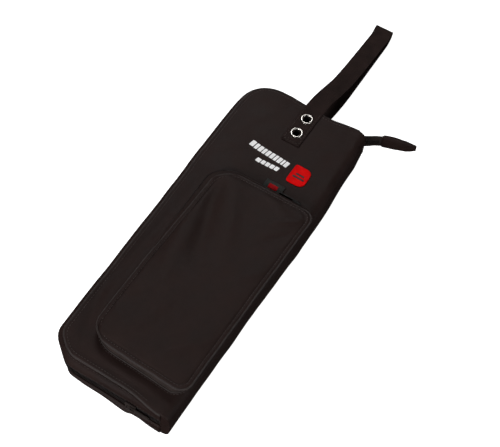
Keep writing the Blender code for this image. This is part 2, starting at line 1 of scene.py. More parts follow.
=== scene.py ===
"""Looks of the drum stick bag, built over its CAD frame.

+X is the spine side, +Y the end with the hanging strap, +Z the front with the pocket.
Every length is in metres.  Each soft piece is modelled straight, then moved by settle(), one
smooth field shared by all of them, so that neighbours stay joined where the bag bows and sags.
"""

import math

import bmesh
import bpy
from mathutils import Matrix, Vector, noise


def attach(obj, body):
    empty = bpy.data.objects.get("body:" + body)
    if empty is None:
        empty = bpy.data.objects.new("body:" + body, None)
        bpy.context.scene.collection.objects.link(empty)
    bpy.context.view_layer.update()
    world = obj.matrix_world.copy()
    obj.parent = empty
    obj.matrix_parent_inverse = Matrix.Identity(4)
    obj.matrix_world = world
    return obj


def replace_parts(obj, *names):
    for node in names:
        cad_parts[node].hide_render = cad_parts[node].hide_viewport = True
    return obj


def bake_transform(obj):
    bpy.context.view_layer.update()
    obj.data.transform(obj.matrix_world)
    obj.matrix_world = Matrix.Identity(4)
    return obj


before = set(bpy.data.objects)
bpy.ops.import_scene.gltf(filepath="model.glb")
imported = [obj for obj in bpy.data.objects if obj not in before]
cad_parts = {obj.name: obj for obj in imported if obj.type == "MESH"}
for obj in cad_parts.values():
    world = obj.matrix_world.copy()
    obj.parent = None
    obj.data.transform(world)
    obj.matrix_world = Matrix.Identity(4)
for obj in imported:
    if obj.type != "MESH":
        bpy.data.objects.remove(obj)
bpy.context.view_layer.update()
noise.seed_set(5)            # noise_vector is otherwise different in each run

# ---- Sizes ----
LENGTH, WIDTH, THICKNESS = 0.455, 0.162, 0.044
HALF = LENGTH / 2
LEFT, RIGHT = -WIDTH / 2, WIDTH / 2
MID_Z = THICKNESS / 2
CORNER = 0.035
SPINE_RADIUS = 0.011
BEND_X = RIGHT - SPINE_RADIUS
SEAM_INSET = 0.0085
WALL_INSET = 0.00125
SEAM_TAPER = 0.00725
TAPER_START_X = 0.012
PANEL_INSET = 0.0094
PIPING_RADIUS = 0.0015
# Fabric layers: how far in from the rim they start, how much of that they give back near the
# spine, and how deep below the panel's outer face they lie.
LINING_INSET, LINING_TAPER, LINING_DEPTH = 0.0072, 0.0045, 0.0062
PAD_INSET, PAD_TAPER, PAD_DEPTH = 0.0120, 0.0060, 0.0037
PANEL_HEM = 0.0062
PANEL_THICK, WALL_THICK, LINING_THICK, FOAM_THICK = 0.0010, 0.0008, 0.0006, 0.0030
STITCH_LENGTH, STITCH_GAP, STITCH_RADIUS = 0.0026, 0.0012, 0.00032

STRAP_X, STRAP_WIDTH, STRAP_THICKNESS = 0.0035, 0.0254, 0.0015
STRAP_END_Y, STRAP_FOLD_Y = 0.1585, 0.2215
EYELET_YS = {"upper": 0.2010, "lower": 0.1755}
STRAP_Z = THICKNESS + 0.0004
EYELET_RADIUS, EYELET_HOLE = 0.0082, 0.0045

POCKET = (-0.048, -0.198, 0.075, 0.081)          # left, bottom, right, top
POCKET_RADII = (0.025, 0.014, 0.012, 0.028)
POCKET_ZIP_Z = THICKNESS + 0.006
POCKET_FACE_Z = THICKNESS + 0.012
POCKET_FOOT_Z, POCKET_TOP_Z = THICKNESS - 0.0003, POCKET_FACE_Z - 0.0002

SLEEVES_START, SLEEVE_WIDTH, SLEEVE_PITCH, SLEEVE_HEIGHT = -0.0715, 0.043, 0.048, 0.015
SLEEVE_FOOT, SLEEVE_MOUTH = -0.188, 0.150
LINING_Z = 0.0068


# ---- Small helpers ----
def ease(start, end, x):
    """0 before start, 1 after end, smooth between; start may be the larger."""
    t = min(max((x - start) / (end - start), 0.0), 1.0)
    return t * t * (3 - 2 * t)


def mix(a, b, t):
    return a + (b - a) * t


def through(stations, x):
    """A smooth run through (place, value) pairs."""
    if x <= stations[0][0]:
        return stations[0][1]
    for (x0, y0), (x1, y1) in zip(stations, stations[1:]):
        if x <= x1:
            return mix(y0, y1, ease(x0, x1, x))
    return stations[-1][1]


def spread(start, end, steps):
    return [mix(start, end, i / steps) for i in range(steps + 1)]


def arc(cx, cy, radius, start, end, steps):
    angles = [math.radians(a) for a in spread(start, end, steps)]
    return [(cx + radius * math.cos(a), cy + radius * math.sin(a)) for a in angles]


def box_depth(x, y, left, bottom, right, top, radius):
    """How far a point is inside a rounded rectangle."""
    dx = abs(x - (left + right) / 2) - (right - left) / 2 + radius
    dy = abs(y - (bottom + top) / 2) - (top - bottom) / 2 + radius
    return radius - min(max(dx, dy), 0.0) - math.hypot(max(dx, 0.0), max(dy, 0.0))


def ridge(x, y, start, end, width):
    """A soft ridge from start to end that fades at both ends; 1 on its line."""
    run = (end[0] - start[0], end[1] - start[1])
    t = ((x - start[0]) * run[0] + (y - start[1]) * run[1]) / (run[0] ** 2 + run[1] ** 2)
    off = math.hypot(x - start[0] - t * run[0], y - start[1] - t * run[1])
    if not 0 < t < 1:
        return 0.0
    return math.exp(-(off / width) ** 2) * math.sin(math.pi * t) ** 0.8


# ---- How the bag bows and sags ----
# How far each side stands off its straight line, as (place along the side, distance) pairs.
LEFT_BOW = ((-0.2275, -0.0020), (-0.19, -0.0052), (-0.10, -0.0062), (0.00, -0.0068),
            (0.10, -0.0085), (0.175, -0.0092), (0.2275, -0.0050))
RIGHT_BOW = ((-0.2275, -0.0012), (-0.12, -0.0004), (0.09, 0.0030), (0.19, -0.0004), (0.2275, -0.0036))
TOP_BOW = ((-0.081, 0.0040), (-0.035, 0.0046), (0.000, 0.0022), (0.040, -0.0008), (0.075, -0.0022))
FOOT_BOW = ((-0.075, 0.0), (-0.020, -0.0034), (0.026, -0.0056), (0.034, -0.0034), (0.070, -0.0016))
# Folds in the front panel: start, end, width, height.
PANEL_FOLDS = (((-0.066, 0.120), (-0.030, 0.215), 0.008, 0.0020),
               ((-0.072, -0.110), (-0.046, -0.215), 0.007, -0.0026),
               ((-0.052, 0.090), (-0.066, -0.150), 0.006, -0.0026),
               ((0.020, 0.150), (0.074, 0.185), 0.008, 0.0017),
               ((-0.022, 0.150), (-0.070, 0.100), 0.008, 0.0018),
               ((-0.040, -0.212), (0.060, -0.216), 0.006, -0.0024),
               ((0.030, 0.100), (0.076, 0.060), 0.006, 0.0014))


def panel_rise(x, y):
    """How far the front panel stands above its straight plane."""
    inside = ease(0.008, 0.030, min(x - LEFT, y + HALF, HALF - y))
    under = ease(-0.010, 0.0, box_depth(x, y, *POCKET, 0.02))
    rise = 0.0014 * inside * (1 - 0.6 * ease(0.045, 0.080, x))
    rise -= 0.0012 * ease(-0.190, -0.206, y) * ease(-0.2185, -0.212, y)
    rise += 0.0009 * inside * noise.noise(Vector((x * 16, y * 9, 3.1)))
    for start, end, width, height in PANEL_FOLDS:
        rise += height * ridge(x, y, start, end, width)
    rise *= 1 - 0.8 * under
    return rise * ease(RIGHT, BEND_X - 0.004, x)


def settle(point):
    """Where a point of the straight bag lies once the bag has bowed and sagged."""
    x, y, z = point
    bow = through(LEFT_BOW, y) * ease(-0.020, LEFT, x) + through(RIGHT_BOW, y) * ease(0.030, RIGHT, x)
    lift = panel_rise(x, y) * ease(0.030, THICKNESS, z) * ease(POCKET_ZIP_Z, THICKNESS + 0.0026, z)
    stretch = through(TOP_BOW, x) * ease(0.150, 0.222, y)
    stretch += through(FOOT_BOW, x) * ease(-0.190, -0.222, y) * ease(0.0165, 0.009, z)
    # The lower left corner is drawn in: both ways at the back, only upwards at the front.
    corner = ease(-0.048, -0.074, x)
    tuck = 0.0088 * corner * ease(-0.165, -0.222, y) * ease(0.026, 0.004, z)
    stretch += 0.0048 * corner * ease(-0.196, -0.2275, y) * ease(0.004, 0.026, z)
    # Small unevenness, held still on the floor and at the pocket's zip.
    ruffle = noise.noise_vector(Vector((x * 26, y * 26, z * 30))) * 0.0007
    ruffle += noise.noise_vector(Vector((x * 70, y * 70, z * 70))) * 0.00022
    ruffle *= ease(0.0, 0.004, z) * (1 - 0.8 * math.exp(-((z - POCKET_ZIP_Z) / 0.003) ** 2))
    return Vector((x + bow + tuck, y + stretch + tuck, z + lift)) + ruffle


def still(point):
    return Vector(point)


# ---- Mesh makers ----
def add_object(name, data):
    made = bpy.data.objects.new(name, data)
    bpy.context.scene.collection.objects.link(made)
    return made


def finish_mesh(name, verts, faces, uvs, look, merge=0.0):
    mesh = bpy.data.meshes.new(name)
    mesh.from_pydata(verts, [], faces)
    layer = mesh.uv_layers.new(name="UVMap")
    flat = [coordinate for face in uvs for uv in face for coordinate in uv]
    layer.data.foreach_set("uv", flat)
    if merge:
        work = bmesh.new()
        work.from_mesh(mesh)
        bmesh.ops.remove_doubles(work, verts=work.verts, dist=merge)
        work.to_mesh(mesh)
        work.free()
    mesh.polygons.foreach_set("use_smooth", [True] * len(mesh.polygons))
    mesh.materials.append(look)
    return add_object(name, mesh)


def lengths_along(points):
    total, out = 0.0, [0.0]
    for a, b in zip(points, points[1:]):
        total += (Vector(b) - Vector(a)).length
        out.append(total)
    return out


def fine(points, step):
    """A smooth curve through points, in a plane or in space, with spots at about that spacing."""
    knots = [Vector(point) for point in points]
    count = len(knots)
    out = []
    for i in range(count - 1):
        p0, p1, p2, p3 = (knots[min(max(k, 0), count - 1)] for k in (i - 1, i, i + 1, i + 2))
        steps = max(1, round((p2 - p1).length / step))
        for s in range(steps):
            t = s / steps
            out.append(0.5 * (2 * p1 + (p2 - p0) * t + (2 * p0 - 5 * p1 + 4 * p2 - p3) * t * t
                              + (3 * p1 - p0 - 3 * p2 + p3) * t ** 3))
    return out + [knots[-1]]


def cloth(name, rows, look, thickness=0.0, closed=False, move=settle, hole=None, merge=0.0,
          offset=-1.0):
    """A fabric surface through rows of points, with UVs in metres; hole(point) leaves faces out."""
    if closed:
        rows = [list(row) + [row[0]] for row in rows]
    across = [lengths_along(row) for row in rows]
    middle = len(rows[0]) // 2
    along = lengths_along([row[middle] for row in rows])
    verts = [move(Vector(p)) for row in rows for p in row]
    width = len(rows[0])
    faces, uvs = [], []
    for i in range(len(rows) - 1):
        for j in range(width - 1):
            corners = ((i, j), (i, j + 1), (i + 1, j + 1), (i + 1, j))
            if hole and any(hole(Vector(rows[a][b])) for a, b in corners):
                continue
            faces.append([a * width + b for a, b in corners])
            uvs.append([(across[a][b] - across[a][middle], along[a]) for a, b in corners])
    made = finish_mesh(name, verts, faces, uvs, look, merge or (1e-6 if closed else 0.0))
    if thickness:
        solid = made.modifiers.new("thickness", "SOLIDIFY")
        solid.thickness = thickness
        solid.offset = offset
    return made


def sweep(name, path, section, look, up=None, closed=False, move=settle):
    """A closed section of (sideways, outward) points carried along a path.

    up gives the outward direction at each point of the path; without it the frame turns as
    little as it can.
    """
    points = [move(Vector(p)) for p in path]
    count, normal, rings = len(points), None, []
    for i, point in enumerate(points):
        before = points[i - 1] if closed or i else point
        after = points[(i + 1) % count] if closed or i < count - 1 else point
        tangent = (after - before).normalized()
        if up is not None:
            normal = Vector(up[i] if isinstance(up, list) else up)
        elif normal is None:
            normal = Vector((0, 0, 1)) if abs(tangent.z) < 0.9 else Vector((1, 0, 0))
        normal = (normal - tangent * normal.dot(tangent)).normalized()
        side = tangent.cross(normal)
        shape = section(i / max(count - 1, 1)) if callable(section) else section
        rings.append([point + side * s + normal * n for s, n in shape])
    size = len(rings[0])
    along = lengths_along(points + points[:1] if closed else points)
    around = lengths_along([(*p, 0) for p in shape + shape[:1]])
    faces, uvs = [], []
    for i in range(count if closed else count - 1):
        k = (i + 1) % count
        for j in range(size):
            m = (j + 1) % size
            faces.append([i * size + j, k * size + j, k * size + m, i * size + m])
            uvs.append([(around[j], along[i]), (around[j], along[i + 1]),
                        (around[j + 1], along[i + 1]), (around[j + 1], along[i])])
    if not closed:
        for face in (list(range(size)), list(range((count - 1) * size, count * size))[::-1]):
            faces.append(face)
            uvs.append([(0.0, 0.0)] * size)
    return finish_mesh(name, [v for ring in rings for v in ring], faces, uvs, look)


def circle(radius, sides):
    return [(radius * math.cos(math.tau * k / sides), radius * math.sin(math.tau * k / sides))
            for k in range(sides)]


def blank_uvs(faces):
    return [[(0.0, 0.0)] * len(face) for face in faces]


def flat_section(width, thickness):
    """A webbing section: flat faces, rounded selvedges."""
    w, t = width / 2, thickness / 2
    half = [(w, 0), (w - t * 0.25, t * 0.75), (w - t * 1.2, t)]
    top = half + [(x * (w - t * 1.2), t) for x in (0.66, 0.33, 0, -0.33, -0.66)]
    left = [(-x, z) for x, z in reversed(half)]
    over = top + left
    return over + [(x, -z) for x, z in reversed(over[1:-1])]


def stitches(name, path, up, move=settle):
    """A row of separate stitches in one mesh, each sunk at its ends."""
    sunk = STITCH_RADIUS * 0.6
    points = [move(Vector(p)) for p in path]
    along = lengths_along(points)
    verts, faces = [], []

    def place(distance):
        for i in range(len(points) - 1):
            if along[i + 1] >= distance:
                t = (distance - along[i]) / max(along[i + 1] - along[i], 1e-9)
                return points[i].lerp(points[i + 1], t), i
        return points[-1], len(points) - 2

    start = STITCH_GAP
    while start + STITCH_LENGTH < along[-1]:
        (a, i), (b, _) = place(start), place(start + STITCH_LENGTH)
        normal = Vector(up[i] if isinstance(up, list) else up).normalized()
        run = (b - a).normalized()
        side = run.cross(normal).normalized()
        first = len(verts)
        verts.append(a - normal * sunk)
        for t in (0.22, 0.78):
            middle = a.lerp(b, t)
            verts.extend(middle + (side * s + normal * n) * STITCH_RADIUS
                         for s, n in ((1, 0), (0, 1), (-1, 0), (0, -0.8)))
        verts.append(b - normal * sunk)
        for k in range(4):
            m = (k + 1) % 4
            faces += [[first, first + 1 + m, first + 1 + k],
                      [first + 1 + k, first + 1 + m, first + 5 + m, first + 5 + k],
                      [first + 5 + k, first + 5 + m, first + 9]]
        start += STITCH_LENGTH + STITCH_GAP
    return finish_mesh(name, verts, faces, blank_uvs(faces), THREAD)


def join(name, objects):
    """Several pieces as one mesh, keeping their materials."""
    work = bmesh.new()
    materials = []
    for part in objects:
        mesh = part.data
        start = len(materials)
        materials += list(mesh.materials)
        before = len(work.faces)
        work.from_mesh(mesh)
        work.faces.ensure_lookup_table()
        for face in work.faces[before:]:
            face.material_index += start
        bpy.data.objects.remove(part, do_unlink=True)
    mesh = bpy.data.meshes.new(name)
    work.to_mesh(mesh)
    work.free()
    for look in materials:
        mesh.materials.append(look)
    return add_object(name, mesh)


# ---- Materials ----
class Look:
    """A material's node graph, with short names for the patterns used here."""

    def __init__(self, name, colour, roughness, metallic=0.0, sheen=0.0, specular=0.5):
        self.material = bpy.data.materials.new(name)
        self.material.use_nodes = True
        self.tree = self.material.node_tree
        self.shader = self.tree.nodes["Principled BSDF"]
        self.colour = colour
        constants = {"Base Color": (*colour, 1.0), "Roughness": roughness, "Metallic": metallic,
                     "Sheen Weight": sheen, "Sheen Roughness": 0.4, "Sheen Tint": (0.9, 0.72, 0.66, 1.0),
                     "Specular IOR Level": specular}
        for socket, value in constants.items():
            self.shader.inputs[socket].default_value = value
        coordinates = self.tree.nodes.new("ShaderNodeTexCoord")
        self.place = coordinates.outputs["Object"]
        parts = self.add("SeparateXYZ", {0: coordinates.outputs["UV"]})
        self.u, self.v = parts.outputs[0], parts.outputs[1]
        self.normal = None

    def add(self, kind, inputs, **settings):
        node = self.tree.nodes.new("ShaderNode" + kind)
        for key, value in settings.items():
            setattr(node, key, value)
        for key, value in inputs.items():
            if isinstance(value, bpy.types.NodeSocket):
                self.tree.links.new(value, node.inputs[key])
            else:
                node.inputs[key].default_value = value
        return node

    def math(self, operation, a, b=0.0):
        return self.add("Math", {0: a, 1: b}, operation=operation).outputs[0]

    def wave(self, coordinate, pitch):
        return self.math("SINE", self.math("MULTIPLY", coordinate, math.tau / pitch))

    def weave(self, pitch):
        """Threads that pass over and under each other."""
        return self.math("MULTIPLY", self.wave(self.u, pitch * 2), self.wave(self.v, pitch * 2))

    def herringbone(self, pitch, stripe):
        zigzag = self.math("PINGPONG", self.u, stripe)
        return self.wave(self.math("ADD", self.v, zigzag), pitch)

    def noise(self, scale, detail=3.0, roughness=0.55):
        values = {"Vector": self.place, "Scale": scale, "Detail": detail, "Roughness": roughness}
        return self.add("TexNoise", values).outputs[0]

    def bump(self, height, distance, strength=1.0):
        values = {"Height": height, "Distance": distance, "Strength": strength}
        if self.normal is not None:
            values["Normal"] = self.normal
        self.normal = self.add("Bump", values).outputs[0]
        self.tree.links.new(self.normal, self.shader.inputs["Normal"])

    def ramp(self, factor, stops):
        node = self.add("ValToRGB", {0: factor})
        elements = node.color_ramp.elements
        while len(elements) < len(stops):
            elements.new(0.5)
        for element, (position, colour) in zip(elements, stops):
            element.position = position
            element.color = (*colour, 1.0)
        return node.outputs[0]

    def shade(self, factor, dark, light, low=0.3, high=0.7):
        """Vary the colour between two multiples of itself."""
        stops = ((low, [c * dark for c in self.colour]), (high, [min(c * light, 1) for c in self.colour]))
        self.tree.links.new(self.ramp(factor, stops), self.shader.inputs["Base Color"])

    def gloss(self, factor, low, high):
        values = {"Value": factor, "From Min": 0.3, "From Max": 0.7, "To Min": low, "To Max": high}
        self.tree.links.new(self.add("MapRange", values).outputs[0], self.shader.inputs["Roughness"])


def woven(name, colour, pitch, roughness=0.55, sheen=0.02, specular=0.16):
    """Plain-woven cloth: threads with their tops painted lighter than the hollows (painted highlight and
    shade), soft dusty patches and slight unevenness between threads.
    """
    look = Look(name, colour, roughness, sheen=sheen, specular=specular)
    threads = look.weave(pitch)
    patches = look.noise(38.0, 4.0)
    fuzz = look.noise(900.0, 2.0)
    look.bump(look.noise(110.0, 3.0), 0.0005, 0.5)
    look.bump(threads, 0.00012, 0.7)
    look.bump(fuzz, 0.00006, 0.5)
    # The threads add a little to the colour, so their tops are painted lighter than the hollows between
    # them: painted highlight and shade.
    blend = look.math("ADD", look.math("MULTIPLY", patches, 0.8), look.math("MULTIPLY", threads, 0.07))
    look.shade(look.math("ADD", blend, look.math("MULTIPLY", fuzz, 0.2)), 0.82, 1.22)
    look.gloss(patches, roughness - 0.06, roughness + 0.08)
    return look.material


def ribbed(name, colour, pitch, along="v"):
    """Webbing or grosgrain: ribs across, fine threads along."""
    look = Look(name, colour, 0.55, sheen=0.02, specular=0.14)
    main, other = (look.v, look.u) if along == "v" else (look.u, look.v)
    ribs = look.wave(main, pitch)
    threads = look.wave(look.math("ADD", other, look.math("MULTIPLY", main, 0.5)), pitch * 0.8)
    look.bump(look.math("ADD", ribs, look.math("MULTIPLY", threads, 0.6)), 0.00025, 0.8)
    look.bump(look.noise(800.0, 2.0), 0.00005, 0.5)
    # The ribs add to the colour, so their crests are painted lighter than their hollows: painted highlight
    # and shade, over a random tone.
    tone = look.math("ADD", look.math("MULTIPLY", ribs, 0.10), look.noise(60.0, 3.0))
    look.shade(tone, 0.75, 1.35)
    return look.material


def zip_tape_look(name, colour):
    look = Look(name, colour, 0.6, sheen=0.02, specular=0.15)
    pattern = look.herringbone(0.0011, 0.0022)
    look.bump(pattern, 0.00018, 0.8)
    # The herringbone adds to the colour, so its raised lines are painted lighter: painted highlight and
    # shade, over a random tone.
    look.shade(look.math("ADD", look.math("MULTIPLY", pattern, 0.18), look.noise(70.0)), 0.75, 1.4)
    return look.material


def plastic(name, colour, roughness, grain=0.00003, specular=0.25):
    look = Look(name, colour, roughness, specular=specular)
    look.bump(look.noise(1400.0, 2.0), grain, 0.5)
    look.shade(look.noise(90.0, 3.0), 0.8, 1.25)
    look.gloss(look.noise(200.0, 3.0), roughness - 0.08, roughness + 0.12)
    return look.material


def metal(name, colour, roughness, wear):
    """Plated metal with hairline scratches and duller, handled patches."""
    look = Look(name, colour, roughness, metallic=1.0)
    stretched = look.add("Mapping", {"Vector": look.place, "Scale": (180.0, 2600.0, 900.0)}).outputs[0]
    scratches = look.add("TexNoise", {"Vector": stretched, "Scale": 1.0, "Detail": 2.0}).outputs[0]
    look.bump(scratches, 0.000006, 0.4)
    look.shade(look.noise(260.0, 3.0), 1 - wear, 1.0)
    look.gloss(look.noise(420.0, 4.0), roughness * 0.7, roughness * 1.7)
    return look.material


def glow(material, strength):
    inputs = material.node_tree.nodes["Principled BSDF"].inputs
    inputs["Emission Color"].default_value = (1, 1, 1, 1)
    inputs["Emission Strength"].default_value = strength


NYLON = woven("black_nylon", (0.0180, 0.0090, 0.0076), 0.00062)
NYLON_PALE = woven("pocket_nylon", (0.0184, 0.0094, 0.0079), 0.00062)
LINING = woven("lining_nylon", (0.0210, 0.0198, 0.0215), 0.00038, roughness=0.42, specular=0.3)
# The piping is lighter than the nylon: a painted highlight along the piped seams, where the raised cord
# catches the light.
PIPING = woven("piping_cloth", (0.0285, 0.0205, 0.0190), 0.0005, roughness=0.45, sheen=0.08, specular=0.3)
BINDING = ribbed("binding_tape", (0.0120, 0.0095, 0.0092), 0.0010)
WEBBING = ribbed("strap_webbing", (0.0215, 0.0118, 0.0103), 0.0016)
TAPE = zip_tape_look("zip_tape_cloth", (0.0240, 0.0165, 0.0150))
# A ribbed tape round the pocket's foot, in a colour lighter than the nylon: painted light on the lower
# wall, which faces the key lamp.
WALL_TAPE = ribbed("wall_tape", (0.034, 0.024, 0.022), 0.0019)
TEETH = plastic("zip_teeth", (0.0150, 0.0115, 0.0108), 0.38)
THREAD = plastic("thread", (0.0600, 0.0460, 0.0425), 0.5)
FOAM = woven("foam", (0.10, 0.10, 0.10), 0.0015, roughness=0.9)
NICKEL = metal("nickel_plate", (0.66, 0.63, 0.59), 0.24, 0.25)
SLIDER_PAINT = plastic("slider_paint", (0.034, 0.026, 0.024), 0.36, specular=0.4)
# Black paint for the pocket's slider; on the eyelets' barrels it is painted shade down their holes.
BLACK_PAINT_AND_HOLE_SHADE = plastic("black_paint_and_hole_shade", (0.010, 0.008, 0.0075), 0.46, specular=0.1)
BADGE_RED = plastic("badge_red", (0.72, 0.0015, 0.0020), 0.5, specular=0.03)
BADGE_DARK = plastic("badge_dark", (0.060, 0.003, 0.004), 0.5)
INK = plastic("white_ink", (0.97, 0.97, 0.97), 0.6, 0.00008)
# A faint glow on the white ink: painted light, so the print reads brighter than its lighting makes it.
glow(INK, 0.12)
TAG = ribbed("woven_tag_cloth", (0.040, 0.043, 0.040), 0.0008, along="u")
TAG_RED = ribbed("tag_red_thread", (0.50, 0.006, 0.010), 0.0008, along="u")


# ---- The case's outline ----
END_STEPS, CORNER_STEPS, SIDE_STEPS = 34, 14, 100


def give(inset):
    """How far a line in from the gusset's outermost draws out again as it nears the spine."""
    return min(max((inset - WALL_INSET) / (SEAM_INSET - WALL_INSET), 0.0), 1.4) * SEAM_TAPER


def end_run(inset, taper):
    start = LEFT + CORNER
    return [(x, HALF - inset + taper * ease(TAPER_START_X, BEND_X, x))
            for x in spread(start, BEND_X, END_STEPS)]


def rim(inset, taper=None):
    """From the spine along the bottom, up the left side and along the top to the spine."""
    taper = give(inset) if taper is None else taper
    run = end_run(inset, taper)
    radius, far = CORNER - inset, HALF - CORNER
    path = [(x, -y) for x, y in reversed(run)]
    path += arc(LEFT + CORNER, -far, radius, 270, 180, CORNER_STEPS)[1:]
    path += [(LEFT + inset, y) for y in spread(-far, far, SIDE_STEPS)][1:]
    path += arc(LEFT + CORNER, far, radius, 180, 90, CORNER_STEPS)[1:]
    return path + run[1:]


def rim_outward(path):
    """The level direction out of the case at each point of a rim path."""
    out = []
    for i in range(len(path)):
        a, b = path[max(i - 1, 0)], path[min(i + 1, len(path) - 1)]
        out.append(Vector((-(a[1] - b[1]), a[0] - b[0], 0)).normalized() * -1)
    return out


def on_side(z, front):
    return THICKNESS - z if front else z


def panel_rows(inset, taper, depth, front, rows=150, hem=0.0):
    """Rows along Y for a layer that runs from the left seam round to the spine's middle."""
    stations = [(x, HALF - CORNER + side, depth)
                for x, side in arc(LEFT + CORNER, 0, CORNER - inset, 180, 90, 12)]
    stations += [(x, side, depth) for x, side in end_run(inset, taper)][1:]
    end_half = stations[-1][1]
    stations += [(x, end_half, z)
                 for x, z in arc(BEND_X, SPINE_RADIUS, SPINE_RADIUS - depth, 270, 360, 12)[1:]]
    stations += [(RIGHT - depth, end_half, z) for z in spread(SPINE_RADIUS, MID_Z, 4)[1:]]
    made = []
    for x, half, z in stations:
        inward = Vector((BEND_X - x, 0, SPINE_RADIUS - z)) if x > BEND_X else Vector((0, 0, 1))
        if z > SPINE_RADIUS:
            inward = Vector((-1, 0, 0))
        inward.normalize()
        row = [Vector((x, y, z)) for y in spread(-half, half, rows)]
        if hem:
            turn = ((0.0006, 0.0004), (0.0010, 0.0016), (0.0009, 0.0035), (0.0, hem))
            for out, down in turn:
                row.insert(0, Vector((x, -half - out, z)) + inward * down)
                row.append(Vector((x, half + out, z)) + inward * down)
        made.append([(p.x, p.y, on_side(p.z, front)) for p in row])
    return made


def near_eyelet(point, reach=0.0054):
    return point.z > MID_Z and any(math.hypot(point.x - STRAP_X, point.y - y) < reach
                                   for y in EYELET_YS.values())


def blend_half(piece, front):
    if front:
        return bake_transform(piece)
    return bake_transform(piece)


# ---- Case: fabric, padding, lining, gusset, piping, zip ----
PIPING_Z = 0.0019
# Sections of the gusset and the zip tape, seam to zip: (how far in, how high) on the back half.
GUSSET = ((0.0088, 0.0030), (0.0079, 0.0046), (0.0066, 0.0050), (0.0053, 0.0055), (0.0042, 0.0063),
          (0.0032, 0.0073), (0.0024, 0.0086), (0.0018, 0.0100), (0.0013, 0.0114), (0.0011, 0.0128),
          (0.0010, 0.0137), (0.0014, 0.0142), (0.0021, 0.0140))
ZIP_TAPE = ((0.0026, 0.0120), (0.0024, 0.0142), (0.0021, 0.0160), (0.0017, 0.0176), (0.0015, 0.0196))
# Rows of thread along the rim: name, how far in, how high, and how much they face the zip.
RIM_THREADS = (("hem", 0.00035, 0.0126, 0.1), ("seam", 0.0060, 0.0046, -0.75))
SPINE_PAD_HALF = 0.2180
SPINE_END_X, SPINE_END_Y, SPINE_END_SWELL = 0.0660, 0.2247, 0.0016
TOOTH_PITCH = 0.0016
PAD_SPINE_ROWS = 16          # the last rows of a panel's layer, left to the spine's own pad


def build_case(front):
    side, sign = ("front", 1) if front else ("back", -1)
    body = f"{side}_half"
    offset = float(sign)     # the layers' rows run left to right, so each half thickens its own way
    rows = panel_rows(PANEL_INSET, SEAM_TAPER, 0.0, front, hem=PANEL_HEM)
    shell = cloth(f"{side}_case_fabric", rows, NYLON, PANEL_THICK, hole=near_eyelet, offset=offset)
    blend_half(shell, front)
    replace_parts(shell, f"{side}_shell", *(["spine_shell"] if not front else []))

    rows = panel_rows(LINING_INSET, LINING_TAPER, LINING_DEPTH, front, rows=90)
    lining = cloth(f"{side}_lining_fabric", rows, LINING, LINING_THICK, offset=-offset)
    blend_half(lining, front)
    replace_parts(lining, f"{side}_lining", *(["spine_lining"] if not front else []))

    rows = panel_rows(PAD_INSET, PAD_TAPER, PAD_DEPTH, front, rows=60)[:-PAD_SPINE_ROWS]
    pad = cloth(f"{side}_pad", rows, FOAM, FOAM_THICK, hole=lambda p: near_eyelet(p, 0.0095), offset=0.0)
    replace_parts(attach(pad, body), f"{side}_foam")

    rows = [[(x, y, on_side(z, front)) for x, y in rim(inset)] for inset, z in GUSSET]
    gusset = cloth(f"{side}_gusset_fabric", rows, NYLON, WALL_THICK, offset=offset)
    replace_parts(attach(gusset, body), f"{side}_gusset")

    path = [(x, y, on_side(PIPING_Z, front)) for x, y in rim(SEAM_INSET, SEAM_TAPER)]
    piping = sweep(f"{side}_piping_cord", path, circle(PIPING_RADIUS, 12), PIPING)
    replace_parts(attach(piping, body), f"{side}_piping")

    rows = [[(x, y, on_side(z, front)) for x, y in rim(inset, 0.0)] for inset, z in ZIP_TAPE]
    tape = cloth(f"{side}_zip_tape_cloth", rows, TAPE, 0.0005, offset=0.0)
    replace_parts(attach(tape, body), f"{side}_zip_tape")

    teeth = coil(f"{side}_zip_teeth", rim(WALL_INSET, 0.0), MID_Z, sign, 0.0 if front else 0.5, TOOTH_PITCH)
    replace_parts(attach(teeth, body), f"{side}_zip_coil")

    threads = []
    for label, inset, z, tilt in RIM_THREADS:
        path = rim(inset)
        ups = [out - Vector((0, 0, sign * tilt)) for out in rim_outward(path)]
        spots = [(x, y, on_side(z, front)) for x, y in path]
        threads.append(stitches(f"{side}_{label}_thread", spots, ups))
    inner = [(x, y, on_side(-0.0001, front)) for x, y in rim(0.0122, 0.0066)[6:-6]]
    threads.append(stitches(f"{side}_panel_thread", inner, (0, 0, sign)))
    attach(join(f"{side}_case_stitching", threads), body)


def coil(name, path, middle_z, sign, phase, pitch, reach=0.0046, bulge=0.0010):
    """One side of a coil zip: loops that meet the other side's loops at middle_z.

    sign is 1 for the upper side and -1 for the lower; phase shifts the loops by a part of a pitch.
    """
    points = [settle(Vector((x, y, middle_z))) for x, y in path]
    along = lengths_along(points)
    outward = rim_outward(path)
    verts, faces = [], []
    rings = ((1.0, -0.25), (0.86, 0.45), (0.50, 0.80), (0.12, 0.75), (-0.06, 0.15))
    half, deep, sides = pitch * 0.30, 0.00042, 6
    distance, i = pitch * (0.5 + phase), 0
    while distance < along[-1]:
        while along[i + 1] < distance:
            i += 1
        t = (distance - along[i]) / (along[i + 1] - along[i])
        centre = points[i].lerp(points[i + 1], t)
        run = (points[i + 1] - points[i]).normalized()
        out = outward[i].lerp(outward[i + 1], t).normalized()
        first = len(verts)
        for away, rise in rings:
            ring = centre + Vector((0, 0, sign * away * reach)) + out * rise * bulge
            for k in range(sides):
                a = math.tau * k / sides
                verts.append(ring + run * half * math.cos(a) + out * deep * math.sin(a))
        for r in range(len(rings) - 1):
            for k in range(sides):
                a, b = first + r * sides + k, first + r * sides + (k + 1) % sides
                faces.append([a, b, b + sides, a + sides])
        faces.append([first + k for k in range(sides)][::-1])
        faces.append([first + (len(rings) - 1) * sides + k for k in range(sides)])
        distance += pitch
    return finish_mesh(name, verts, faces, blank_uvs(faces), TEETH)


